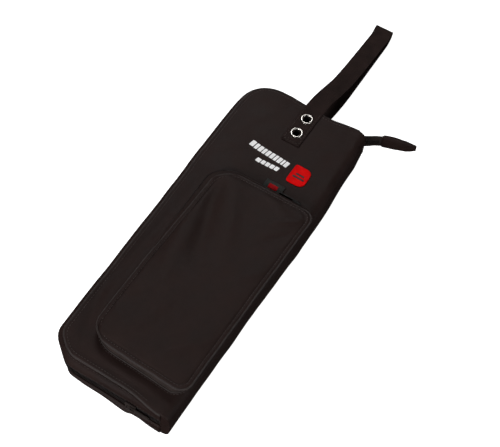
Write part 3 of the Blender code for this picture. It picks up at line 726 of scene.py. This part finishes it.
def build_spine_pad():
    radius = SPINE_RADIUS - PAD_DEPTH
    low = arc(BEND_X, SPINE_RADIUS, radius, 322, 360, 6)
    high = arc(BEND_X, THICKNESS - SPINE_RADIUS, radius, 0, 38, 6)
    rows = [[(x, y, z) for y in spread(-SPINE_PAD_HALF, SPINE_PAD_HALF, 60)] for x, z in low + high]
    pad = cloth("spine_pad", rows, FOAM, FOAM_THICK, offset=0.0)
    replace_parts(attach(pad, "spine"), "spine_foam")


def build_spine_ends():
    """The folded fabric that closes each end of the spine between the two halves."""
    for end, sign in (("foot", -1), ("head", 1)):
        rows = []
        for z in spread(0.0022, THICKNESS - 0.0022, 26):
            reach = min(z, THICKNESS - z, SPINE_RADIUS)
            curve = math.sqrt(SPINE_RADIUS ** 2 - (SPINE_RADIUS - reach) ** 2)
            outer = BEND_X + curve - 0.0011
            swell = SPINE_END_SWELL * math.sin(math.pi * z / THICKNESS)
            rows.append([(mix(SPINE_END_X, outer, t),
                          sign * (SPINE_END_Y + swell * math.sin(math.pi * t) ** 0.6), z)
                         for t in spread(0, 1, 10)])
        fold = cloth(f"spine_{end}_fold", rows, NYLON, WALL_THICK, offset=0.0)
        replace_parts(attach(fold, "spine"), "spine_shell")


# ---- Strap and eyelets ----
# The loop's path as (y, z): out from the fold over the case's upper edge, and back below.
STRAP_OUT = ((0.2260, 0.0447), (0.2300, 0.0441), (0.2410, 0.0418), (0.2600, 0.0368),
             (0.2900, 0.0285), (0.3250, 0.0210), (0.3600, 0.0158), (0.3900, 0.0128))
STRAP_BACK = ((0.3800, 0.0018), (0.3200, 0.0018), (0.2650, 0.0020), (0.2480, 0.0050),
              (0.2380, 0.0125), (0.2320, 0.0220), (0.2292, 0.0310))
STRAP_TIP_Y, STRAP_TIP_Z, STRAP_TIP_BEND = 0.4240, 0.0018, 0.0046
SEW_MARGIN, SEW_BOX = 0.0022, 0.0125


def build_strap():
    bend = STRAP_TIP_BEND
    tip = arc(STRAP_TIP_Y - bend, STRAP_TIP_Z + bend, bend, 85, -90, 9)
    path = [(y, STRAP_Z + STRAP_THICKNESS / 2) for y in spread(STRAP_END_Y, STRAP_FOLD_Y, 36)]
    path += fine([*STRAP_OUT, *tip, *STRAP_BACK], 0.004)
    strap = sweep("hanging_strap", [(STRAP_X, y, z) for y, z in path],
                  flat_section(STRAP_WIDTH, STRAP_THICKNESS), WEBBING, up=strap_up(path), move=strap_move)
    punch(strap, lambda p: near_eyelet(p, 0.0058) and p.y < STRAP_FOLD_Y)
    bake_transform(strap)
    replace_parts(strap, "strap_anchor", "strap_loop")
    length = lengths_along([(0, y, z) for y, z in path])[-1]

    # A box with a cross at the sewn end, then a row along each edge.
    edge, top = STRAP_WIDTH / 2 - SEW_MARGIN, STRAP_Z + STRAP_THICKNESS + 0.0001
    low, high = STRAP_END_Y + SEW_MARGIN, STRAP_END_Y + SEW_BOX
    corners = [(-edge, low), (edge, low), (edge, high), (-edge, high), (-edge, low), (edge, high)]
    runs = [[(STRAP_X + mix(a[0], b[0], t), mix(a[1], b[1], t), top) for t in spread(0, 1, 10)]
            for a, b in zip(corners, corners[1:])]
    runs += [[(STRAP_X + side, y, top) for y in spread(high, STRAP_FOLD_Y - 0.004, 24)]
             for side in (-edge, edge)]
    rows = [stitches(f"strap_run_{k}", run, (0, 0, 1), move=strap_move) for k, run in enumerate(runs)]
    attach(join("strap_stitching", rows), "front_half")


def strap_up(path):
    """The webbing's outer side at each point of its path."""
    ups = []
    for i in range(len(path)):
        a, b = path[max(i - 1, 0)], path[min(i + 1, len(path) - 1)]
        ups.append((0, a[1] - b[1], b[0] - a[0]))
    return ups


def strap_move(point):
    """The strap follows the panel where it is sewn, and twists a little where it is free."""
    x, y, z = point
    held = ease(0.232, 0.216, y)
    z += panel_rise(STRAP_X, y) * held
    loose = ease(0.235, 0.330, y) * ease(0.006, 0.014, z)
    turn = loose * ease(0.30, 0.385, y) * ease(0.424, 0.400, y)
    z += 0.0010 * loose * math.sin(y * 38) + (x - STRAP_X) * 0.34 * turn
    x += 0.0026 * ease(0.232, 0.300, y) * ease(0.428, 0.400, y) - (x - STRAP_X) * 0.14 * turn
    return Vector((x, y, z))


def punch(piece, inside):
    """Delete the faces whose middle is inside."""
    work = bmesh.new()
    work.from_mesh(piece.data)
    gone = [face for face in work.faces if inside(face.calc_center_median())]
    bmesh.ops.delete(work, geom=gone, context="FACES")
    work.to_mesh(piece.data)
    work.free()


def turned(name, profile, look):
    """A closed (radius, height) profile turned round the z axis."""
    rows = [[(r * math.cos(a), r * math.sin(a), z) for r, z in profile + profile[:1]]
            for a in spread(0, math.tau, 48)]
    return cloth(name, rows, look, move=still, merge=1e-6)


def build_eyelets():
    """Heights are above the case's cloth; under is the strap's top."""
    outer, hole, under = EYELET_RADIUS - 0.0004, EYELET_HOLE, STRAP_THICKNESS + 0.0004
    rolled = [(outer - 0.0003, under), (outer, under + 0.0004), (outer - 0.0004, under + 0.0009),
              (outer - 0.0010, under + 0.0012), (hole + 0.0016, under + 0.0011),
              (hole + 0.0010, under + 0.0006), (hole + 0.0007, under), (hole + 0.0012, under - 0.0002)]
    tube = [(hole + 0.0008, under + 0.0002), (hole + 0.0003, -0.0006), (hole, -0.0028),
            (hole + 0.0004, -0.0028), (hole + 0.0011, under)]
    washer = [(outer, -0.0016), (outer - 0.0002, -0.0024),
              (hole + 0.0008, -0.0024), (hole + 0.0008, -0.0016)]
    for place, y in EYELET_YS.items():
        ring = turned(f"eyelet_{place}_ring", rolled, NICKEL)
        # The barrel is near-black: painted shade down the eyelet's hole, where the real barrel is the
        # ring's plated metal.
        barrel = turned(f"eyelet_{place}_barrel", tube, BLACK_PAINT_AND_HOLE_SHADE)
        back = turned(f"eyelet_{place}_back", washer, NICKEL)
        for piece, node in ((ring, f"eyelet_{place}"), (barrel, f"eyelet_{place}"),
                            (back, f"eyelet_washer_{place}")):
            piece.location = (STRAP_X, y, THICKNESS + panel_rise(STRAP_X, y))
            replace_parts(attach(piece, "front_half"), node)


# ---- Labels ----
BADGE_X, BADGE_Y, BADGE_Z = 0.0383, 0.1213, THICKNESS + 0.0016
BADGE_SIZE, BADGE_RADII = (0.0226, 0.0280), (0.0034, 0.0085, 0.0075, 0.0030)
BADGE_BARS = ((0.0012, 0.0110), (-0.0036, 0.0150))          # height above its middle, width
# Rows of printed blocks: left end, height up the panel, size, slope and the blocks' widths.
PRINT_ROWS = ((-0.0350, 0.1300, 0.0085, 0.00098, -0.1193, (5, 4, 5, 4, 5, 5, 4, 5, 3, 5)),
              (-0.0185, 0.1159, 0.0062, 0.00102, 0.0, (6, 5, 5, 5, 5)))
PRINT_MIDDLE, PRINT_GAP, PRINT_LEAN = -0.0065, 0.0011, 0.10
TAG_FOOT, TAG_HEAD = 0.0805, 0.0975


def rounded_outline(left, bottom, right, top, radii, steps, run):
    """Counter-clockwise from the bottom left; run is the spacing along the straight sides."""
    a, b, c, d = radii
    corners = (arc(left + a, bottom + a, a, 180, 270, steps),
               arc(right - b, bottom + b, b, 270, 360, steps),
               arc(right - c, top - c, c, 0, 90, steps),
               arc(left + d, top - d, d, 90, 180, steps))
    path = []
    for corner, following in zip(corners, corners[1:] + corners[:1]):
        start, end = corner[-1], following[0]
        count = max(1, round(math.dist(start, end) / run))
        path += corner
        path += [(mix(start[0], end[0], i / count), mix(start[1], end[1], i / count))
                 for i in range(1, count)]
    return path


def tile(name, centre, size, radii, height, look, thickness, turn=0.0, skew=0.0, dome=0.0):
    """A small flat-topped piece lying on the front panel."""
    w, h = size[0] / 2, size[1] / 2
    outline = rounded_outline(-w, -h, w, h, radii, 5, 0.003)
    shrink = (1.0, 1.0, 0.985, 0.93, 0.85, 0.6, 0.3, 0.02)
    rise = (-thickness, -0.3 * thickness, 0, dome * 0.5, dome, dome, dome, dome)
    rows = []
    c, s = math.cos(turn), math.sin(turn)
    for scale, up in zip(shrink, rise):
        row = []
        for u, v in outline:
            a, b = (u + skew * v) * scale, v * scale
            row.append((centre[0] + a * c - b * s, centre[1] + a * s + b * c, height + up))
        rows.append(row)
    return cloth(name, rows, look, closed=True, merge=0.00002)


def build_badge():
    parts = [tile("badge_base", (BADGE_X, BADGE_Y), BADGE_SIZE, BADGE_RADII, BADGE_Z, BADGE_RED, 0.0012,
                  dome=-0.0003)]
    for k, (rise, wide) in enumerate(BADGE_BARS):
        parts.append(tile(f"badge_bar_{k}", (BADGE_X + 0.0005, BADGE_Y + rise), (wide, 0.0026),
                          (0.0010,) * 4, BADGE_Z + 0.0001, BADGE_DARK, 0.0002))
    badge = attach(join("badge", parts), "front_half")
    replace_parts(badge, "badge_patch")


def build_print():
    """Rows of plain blocks where the case is printed."""
    blocks = []
    for row, (x, y, tall, unit, slope, widths) in enumerate(PRINT_ROWS):
        for k, units in enumerate(widths):
            wide = units * unit
            centre = (x + wide / 2, y + slope * (x - PRINT_MIDDLE))
            blocks.append(tile(f"mark_{row}_{k}", centre, (wide, tall), (0.0008,) * 4,
                               THICKNESS + 0.00022, INK, 0.0004, turn=-PRINT_LEAN, skew=PRINT_LEAN))
            x += wide + PRINT_GAP
    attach(join("printed_blocks", blocks), "front_half")


def tag_rows(left, right, columns, start, end, lines, lift, swell):
    """Rows across the tag's soft fold, between two shares of its height."""
    rows = []
    for t in spread(start, end, lines):
        y, z = mix(TAG_FOOT, TAG_HEAD, t), THICKNESS + lift + swell * math.sin(math.pi * t) ** 0.9
        rows.append([(x, y, z) for x in spread(left, right, columns)])
    return rows


def build_tag():
    rows = tag_rows(0.0085, 0.0335, 16, 0, 1, 10, 0.0009, 0.0016)
    label = cloth("tag_cloth", rows, TAG, 0.0007, offset=0.0)
    rows = tag_rows(0.0145, 0.0265, 6, 0.30, 0.68, 6, 0.00165, 0.0014)
    stripe = cloth("tag_stripe", rows, TAG_RED, 0.0002, offset=0.0)
    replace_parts(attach(label, "front_half"), "woven_tag")
    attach(stripe, "front_half")


# ---- Front pocket ----
POCKET_RUN = 0.003
FACE_END = 0.03              # the stretch at each end of the face where its rows crowd together


def face_share(z):
    """0 at the pocket's foot, 1 at its face."""
    return ease(POCKET_ZIP_Z + 0.0004, POCKET_FACE_Z + 0.0008, z)


def lean(x, y, amount):
    """The pocket's foot is drawn in at its lower left; its face leans out to the right and down."""
    left, bottom, right, top = POCKET
    across, up = (x - left) / (right - left), (y - bottom) / (top - bottom)
    foot = (1 - amount) * (1 - across) * 0.0055
    right_lean = mix(mix(0.0020, 0.0072, ease(0.1, 1, up)), 0.0064, across)
    up_lean = mix(mix(0.0062, 0.0005, across), -0.0060, up)
    dx = right_lean * amount + foot * (1 - ease(0.1, 0.7, up))
    dy = up_lean * amount + foot * (1 - ease(0, 0.3, up)) * 1.2
    return x + dx, y + dy


def pocket_line(inset, z):
    """The pocket's outline at a height."""
    left, bottom, right, top = POCKET
    bulge = 0.0012 * math.sin(math.pi * min(max((z - THICKNESS) / 0.0125, 0), 1))
    radii = [r - inset + bulge for r in POCKET_RADII]
    inset -= bulge
    path = rounded_outline(left + inset, bottom + inset, right - inset, top - inset, radii, 8, POCKET_RUN)
    return [(*lean(x, y, face_share(z)), z) for x, y in path]


def face_rows(inset, z):
    """Rows from left to right that fill the pocket's outline."""
    left, bottom, right, top = POCKET
    left, bottom, right, top = left + inset, bottom + inset, right - inset, top - inset
    foot_left, foot_right, top_right, top_left = (radius - inset for radius in POCKET_RADII)

    def side(radius, gap):
        """How far a round corner draws the side in, at a gap from its end."""
        return radius - math.sqrt(max(radius ** 2 - (radius - gap) ** 2, 0)) if gap < radius else 0.0

    crowded = [FACE_END * (1 - math.cos(a)) for a in spread(0, math.pi / 2, 16)]
    ys = [bottom + step for step in crowded]
    ys += spread(bottom + FACE_END, top - FACE_END, 86)[1:-1]
    ys += [top - step for step in reversed(crowded)]
    rows = []
    for y in ys:
        start = left + max(side(foot_left, y - bottom), side(top_left, top - y))
        end = right - max(side(foot_right, y - bottom), side(top_right, top - y))
        row = []
        for a in spread(0, math.pi, 72):
            x = mix(start, end, (1 - math.cos(a)) / 2)
            depth = box_depth(x, y, left, bottom, right, top, 0.018)
            px, py = lean(x, y, face_share(z))
            row.append((px, py, z + face_rise(px, py, depth)))
        rows.append(row)
    return rows


def cyclic_slice(path, start, end):
    """The points from start round to end, both index numbers, wrapping past the last."""
    if end < start:
        return path[start:] + path[:end + 1]
    return path[start:end + 1]


def nearest_index(path, x, y):
    return min(range(len(path)), key=lambda i: (path[i][0] - x) ** 2 + (path[i][1] - y) ** 2)


# Folds in the pocket's face: start, end, width, height.
FACE_FOLDS = (((-0.041, 0.072), (0.004, -0.070), 0.0100, -0.0056),
              ((-0.020, 0.076), (0.034, -0.055), 0.0120, 0.0034),
              ((-0.046, 0.010), (-0.004, -0.130), 0.0120, 0.0034),
              ((-0.020, -0.190), (0.014, -0.080), 0.009, 0.0018),
              ((0.020, -0.185), (0.078, -0.120), 0.009, 0.0020),
              ((0.082, 0.064), (0.044, 0.036), 0.0045, 0.0024),
              ((0.080, 0.048), (0.050, 0.006), 0.0045, -0.0020),
              ((0.000, 0.082), (0.064, 0.050), 0.006, 0.0020),
              ((-0.044, -0.150), (-0.010, -0.100), 0.009, -0.0020),
              ((0.076, -0.020), (0.046, -0.060), 0.006, 0.0012))
HEM_RISE = 0.0008            # the face's edge stands up and dips again at its topstitching


def face_rise(x, y, depth):
    """How far the pocket's face stands above its seam, depth in from its edge."""
    crown = 0.0026 * (1 - math.exp(-max(depth, 0) / 0.010))
    wave = 0.0012 * noise.noise(Vector((x * 18, y * 11, 8.4))) * ease(0.0, 0.020, depth)
    folds = sum(height * ridge(x, y, start, end, width) for start, end, width, height in FACE_FOLDS)
    fold_over = math.exp(-((depth - 0.0022) / 0.0013) ** 2)
    stitch_line = math.exp(-((depth - 0.0044) / 0.0012) ** 2)
    return crown + wave + HEM_RISE * (fold_over - stitch_line) + folds * ease(0.0, 0.014, depth)


def pocket_run(inset, z, start, end):
    """The pocket's outline at a height, from one index round to another."""
    return cyclic_slice(pocket_line(inset, z), start, end)


def build_pocket_walls(first, last):
    """Two walls beside the zip, hemmed along it, and one strip of tape up the foot."""
    hem = 0.0004
    for level, body, low, high, hem_place, hem_z in (
            ("lower", "front_half", POCKET_FOOT_Z, POCKET_ZIP_Z - 0.0018, -1, POCKET_ZIP_Z - 0.0018 - hem),
            ("upper", "pocket_flap", POCKET_ZIP_Z + 0.0018, POCKET_TOP_Z, 1, POCKET_ZIP_Z + 0.0018 + hem)):
        rows = [pocket_run(0.0, z, first, last) for z in spread(low, high, 6)]
        rows.insert(hem_place, pocket_run(-hem, hem_z, first, last))
        panel = cloth(f"pocket_{level}_side", rows, NYLON, WALL_THICK, offset=0.0)
        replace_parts(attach(panel, body), f"pocket_{level}_wall")

    rows = [pocket_run(0.0, z, last, first) for z in spread(POCKET_FOOT_Z, POCKET_TOP_Z, 14)]
    foot = cloth("pocket_foot_side", rows, WALL_TAPE, WALL_THICK, offset=0.0)
    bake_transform(foot)


def build_pocket_zip(first, last):
    for level, sign, body in (("lower", -1, "front_half"), ("upper", 1, "pocket_flap")):
        rows = [pocket_run(0.0010 - 0.0006 * t, POCKET_ZIP_Z + sign * mix(0.0028, 0.0006, t), first, last)
                for t in spread(0, 1, 3)]
        tape = cloth(f"pocket_{level}_zip_tape", rows, TAPE, 0.0004, offset=0.0)
        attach(tape, body)
        line = [(x, y) for x, y, _ in reversed(pocket_run(0.0002, POCKET_ZIP_Z, first, last))]
        teeth = coil(f"pocket_{level}_zip_teeth", line, POCKET_ZIP_Z, sign, 0.5 if sign > 0 else 0.0,
                     0.0013, reach=0.0018, bulge=0.0007)
        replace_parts(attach(teeth, body), f"pocket_{level}_coil")


def build_pocket():
    base = pocket_line(-0.0012, THICKNESS + 0.0009)
    piping = sweep("pocket_foot_piping", base, circle(0.0010, 8), PIPING, up=(0, 0, 1), closed=True)
    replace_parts(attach(piping, "front_half"), "pocket_base_piping")

    # The zip runs from low on the right, over the top, to low on the left.
    left, bottom, right, _ = POCKET
    first = nearest_index(base, right, bottom + 0.016)
    last = nearest_index(base, left, bottom + 0.027)
    build_pocket_walls(first, last)
    build_pocket_zip(first, last)

    seam = pocket_line(-0.0006, POCKET_FACE_Z + 0.0003)
    piping = sweep("pocket_rim_piping", seam, circle(0.0012, 10), PIPING, up=(0, 0, 1), closed=True)
    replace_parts(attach(piping, "pocket_flap"), "pocket_face_piping")

    rows = face_rows(-0.0004, POCKET_FACE_Z + 0.0002)
    face = cloth("pocket_front_fabric", rows, NYLON_PALE, 0.0009, offset=1.0)
    flat_uv(face)
    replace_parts(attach(face, "pocket_flap"), "pocket_face")

    around = [(x, y, z + 0.0001) for x, y, z in pocket_line(-0.0034, THICKNESS)]
    top = [(x, y, z + 0.0010 + face_rise(x, y, 0.0028)) for x, y, z in pocket_line(0.0034, POCKET_FACE_Z)]
    for name, path, body in (("pocket_foot_stitching", around, "front_half"),
                             ("pocket_rim_stitching", top, "pocket_flap")):
        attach(stitches(name, path + path[:1], (0, 0, 1)), body)


def flat_uv(piece):
    """UVs straight down onto a nearly level piece, so that its weave runs one way."""
    mesh = piece.data
    layer = mesh.uv_layers["UVMap"].data
    for loop in mesh.loops:
        place = mesh.vertices[loop.vertex_index].co
        layer[loop.index].uv = (place.x, place.y)


# ---- Zip sliders, zip tail, inside ----
def build_sliders():
    for prefix, look in (("main", SLIDER_PAINT), ("pocket", BLACK_PAINT_AND_HOLE_SHADE)):
        for node in (f"{prefix}_slider", f"{prefix}_slider_bail", f"{prefix}_zip_pull"):
            piece = bpy.data.objects[node]
            piece.data.materials.clear()
            piece.data.materials.append(look)
            bevel = piece.modifiers.new("soft_edges", "BEVEL")
            bevel.width = 0.00025
            bevel.segments = 2
            bevel.limit_method = "ANGLE"


TAIL_PATH = ((0.0725, 0.2290, MID_Z), (0.0790, 0.2322, 0.0232), (0.0860, 0.2372, 0.0234),
             (0.0945, 0.2425, 0.0226))
TAIL_CAP_PATH = ((0.0920, 0.2412, 0.0230), (0.1000, 0.2455, 0.0216), (0.1110, 0.2512, 0.0186),
                 (0.1220, 0.2580, 0.0140), (0.1315, 0.2650, 0.0098))
# The cap's half height and half thickness, as (share of its length, size) pairs.
CAP_TALL = ((0, 0.0098), (0.08, 0.0116), (0.30, 0.0118), (0.65, 0.0102), (1, 0.0056))
CAP_FAT = ((0, 0.0018), (0.08, 0.0040), (0.4, 0.0040), (0.8, 0.0034), (1, 0.0018))


def build_tail():
    spots = fine(TAIL_PATH, 0.0015)
    rows = []
    for spot, t in zip(spots, spread(0, 1, len(spots) - 1)):
        tall = mix(0.0105, 0.0092, t)
        rows.append([spot + Vector((0, 0, height)) for height in spread(-tall, tall, 12)])
    tape = cloth("zip_tail_cloth", rows, TAPE, 0.0009, offset=0.0, move=still)
    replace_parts(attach(tape, "zip_tail"), "zip_tail_tape")
    line = [(spot.x, spot.y) for spot in reversed(spots)]
    for place, sign in (("low", -1), ("high", 1)):
        teeth = coil(f"zip_tail_teeth_{place}", line, MID_Z, sign, 0.25 + 0.25 * sign, TOOTH_PITCH,
                     reach=0.0040, bulge=0.0014)
        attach(teeth, "zip_tail")

    spots = fine(TAIL_CAP_PATH, 0.0015)
    count = len(spots) - 1
    rows = []
    for k, spot in enumerate(spots):
        run = (spots[min(k + 1, count)] - spots[max(k - 1, 0)]).normalized()
        across = Vector((run.y, -run.x, 0)).normalized()
        tall, fat = through(CAP_TALL, k / count), through(CAP_FAT, k / count)
        ring = []
        for a in spread(0, math.tau, 20)[:-1]:
            pinch = 1 - 0.35 * math.exp(-(math.sin(a) * 3) ** 2)
            ring.append(spot + across * fat * math.cos(a) * pinch + Vector((0, 0, tall * math.sin(a))))
        rows.append(ring)
    cap = cloth("zip_tail_end_cap", rows, NYLON, closed=True, move=still)
    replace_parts(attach(cap, "zip_tail"), "zip_tail_cap")


# A sleeve's hem lies turned out on the lining: (further out, off the lining) beside each wall.
SLEEVE_HEM = ((-0.0018, 0.0003), (-0.0004, 0.0006), (0.0, 0.002))
# The binding over a sleeve's mouth: (along from the mouth, off the sleeve).
BINDING_FOLD = ((-0.0105, 0.0003), (-0.0095, 0.0008), (-0.0050, 0.0010), (-0.0006, 0.0008),
                (0.0002, 0.0), (-0.0006, 0.0006), (-0.0060, 0.0008))


def arch(left, right, foot, height, corner):
    """A sleeve's section: hem, wall, rounded shoulders and flat top, upside down if height < 0."""
    sign = math.copysign(1, height)
    top = foot + height - sign * corner
    over = arc(left + corner, 0, corner, 180, 90, 6)
    over += [(x, corner) for x in spread(left + corner, right - corner, 8)[1:-1]]
    over += arc(right - corner, 0, corner, 90, 0, 6)
    path = [(left + x, foot + sign * z) for x, z in SLEEVE_HEM]
    path += [(x, top + sign * z) for x, z in over]
    return path + [(right - x, foot + sign * z) for x, z in reversed(SLEEVE_HEM)]


def build_sleeve(name, left, right, foot, height, corner, body, node):
    sign = math.copysign(1, height)

    def sag(x, y, z):
        middle = 1 - abs(2 * (x - left) / (right - left) - 1)
        lift = abs(z - foot) / abs(height)
        soft = 0.0016 * noise.noise(Vector((x * 30, y * 14, left * 50))) - 0.0014 * max(middle, 0)
        return (x, y, z + sign * soft * lift)

    outline = arch(left, right, foot, height, corner)
    rows = [[sag(x, y, z) for x, z in outline] for y in spread(SLEEVE_FOOT, SLEEVE_MOUTH - 0.004, 80)]
    sleeve = cloth(name, rows, LINING, LINING_THICK, offset=0.0, move=still)
    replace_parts(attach(sleeve, body), node)
    width = lengths_along([(x, 0, z) for x, z in outline])[-1]

    rows = []
    for along, off in BINDING_FOLD:
        rows.append([sag(x, SLEEVE_MOUTH + along, z + sign * off * (0.2 if abs(z - foot) < 0.003 else 1))
                     for x, z in outline[1:-1]])
    binding = cloth(f"{name}_edge_tape", rows, BINDING, 0.0003, offset=0.0, move=still)
    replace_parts(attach(binding, body), f"{node}_binding")


def build_inside():
    for index in range(3):
        left = SLEEVES_START + index * SLEEVE_PITCH
        build_sleeve(f"sleeve_{index + 1}_fabric", left, left + SLEEVE_WIDTH, LINING_Z + 0.0003,
                     SLEEVE_HEIGHT, 0.006, "back_half", f"stick_sleeve_{index + 1}")
    build_sleeve("inner_pocket_fabric", -0.060, 0.054, THICKNESS - LINING_Z - 0.0003, -0.005, 0.003,
                 "front_half", "front_inner_pocket")


# ---- Studio ----
CAMERA_AZIMUTH, CAMERA_ELEVATION, CAMERA_ROLL = (math.radians(a) for a in (26.38, 57.16, 5.82))
CAMERA_DISTANCE, CAMERA_TARGET, CAMERA_LENS = 1.44033, Vector((0.01066, 0.0574, 0.0)), 85.0
FLOOR_GLOW = 1.0
SKY = {"From Min": -0.6, "From Max": 1.0, "To Min": 0.42, "To Max": 0.64}
# Name, place, aim, size and power.
LIGHTS = (("key", (-0.40, -1.45, 0.85), (0.0, -0.05, 0.0), (0.55, 0.55), 15.5),
          ("top", (-0.55, 0.85, 1.2), (0.0, 0.05, 0.0), (0.5, 0.4), 10.0),
          ("spine_fill", (1.50, -0.10, 0.30), (0.0, 0.0, 0.02), (0.5, 0.9), 9.5),
          ("foot_fill", (0.10, -1.50, 0.22), (0.0, -0.1, 0.02), (0.8, 0.25), 5.0))


def build_camera():
    level = math.cos(CAMERA_ELEVATION)
    back = Vector((math.sin(CAMERA_AZIMUTH) * level, -math.cos(CAMERA_AZIMUTH) * level,
                   math.sin(CAMERA_ELEVATION)))
    right = Vector((0, 0, 1)).cross(back).normalized()
    up = back.cross(right)
    c, s = math.cos(CAMERA_ROLL), math.sin(CAMERA_ROLL)
    axes = (right * c + up * s, up * c - right * s, back)
    data = bpy.data.cameras.new("camera")
    data.lens = CAMERA_LENS
    data.sensor_width = 36.0
    data.clip_start = 0.05
    camera = add_object("camera", data)
    matrix = Matrix.Identity(4)
    for column, axis in enumerate(axes):
        for line in range(3):
            matrix[line][column] = axis[line]
    matrix.translation = CAMERA_TARGET + back * CAMERA_DISTANCE
    camera.matrix_world = matrix
    bpy.context.scene.camera = camera


def area_light(name, place, aim, size, power):
    data = bpy.data.lights.new(name, "AREA")
    data.shape = "RECTANGLE"
    data.size, data.size_y = size
    data.energy = power
    light = add_object(name, data)
    light.location = place
    light.rotation_euler = (Vector(aim) - Vector(place)).to_track_quat("-Z", "Y").to_euler()


def build_studio():
    """A white floor that the camera sees but the dark fabric doesn't, under a soft overhead sky."""
    look = Look("floor_white", (0.93, 0.93, 0.93), 0.9)
    glow(look.material, FLOOR_GLOW)
    rows = [[(x, y, 0.0) for x in (-6, 0, 6)] for y in (-6, 0, 6)]
    floor = cloth("floor", rows, look.material, move=still)
    floor.visible_diffuse = False
    floor.visible_glossy = False

    world = bpy.data.worlds.new("studio")
    world.use_nodes = True
    nodes, links = world.node_tree.nodes, world.node_tree.links
    direction = nodes.new("ShaderNodeTexCoord")
    parts = nodes.new("ShaderNodeSeparateXYZ")
    sky = nodes.new("ShaderNodeMapRange")
    links.new(direction.outputs["Generated"], parts.inputs[0])
    links.new(parts.outputs[2], sky.inputs["Value"])
    for socket, value in SKY.items():
        sky.inputs[socket].default_value = value
    links.new(sky.outputs[0], nodes["Background"].inputs["Strength"])
    bpy.context.scene.world = world

    for light in LIGHTS:
        area_light(*light)
    view = bpy.context.scene.view_settings
    view.view_transform = "Standard"
    view.look = "None"


# ---- Assembly ----
def main():
    build_case(front=False)
    build_case(front=True)
    build_spine_pad()
    build_spine_ends()
    build_strap()
    build_eyelets()
    build_badge()
    build_print()
    build_tag()
    build_pocket()
    build_sliders()
    build_tail()
    build_inside()
    build_studio()
    build_camera()


main()
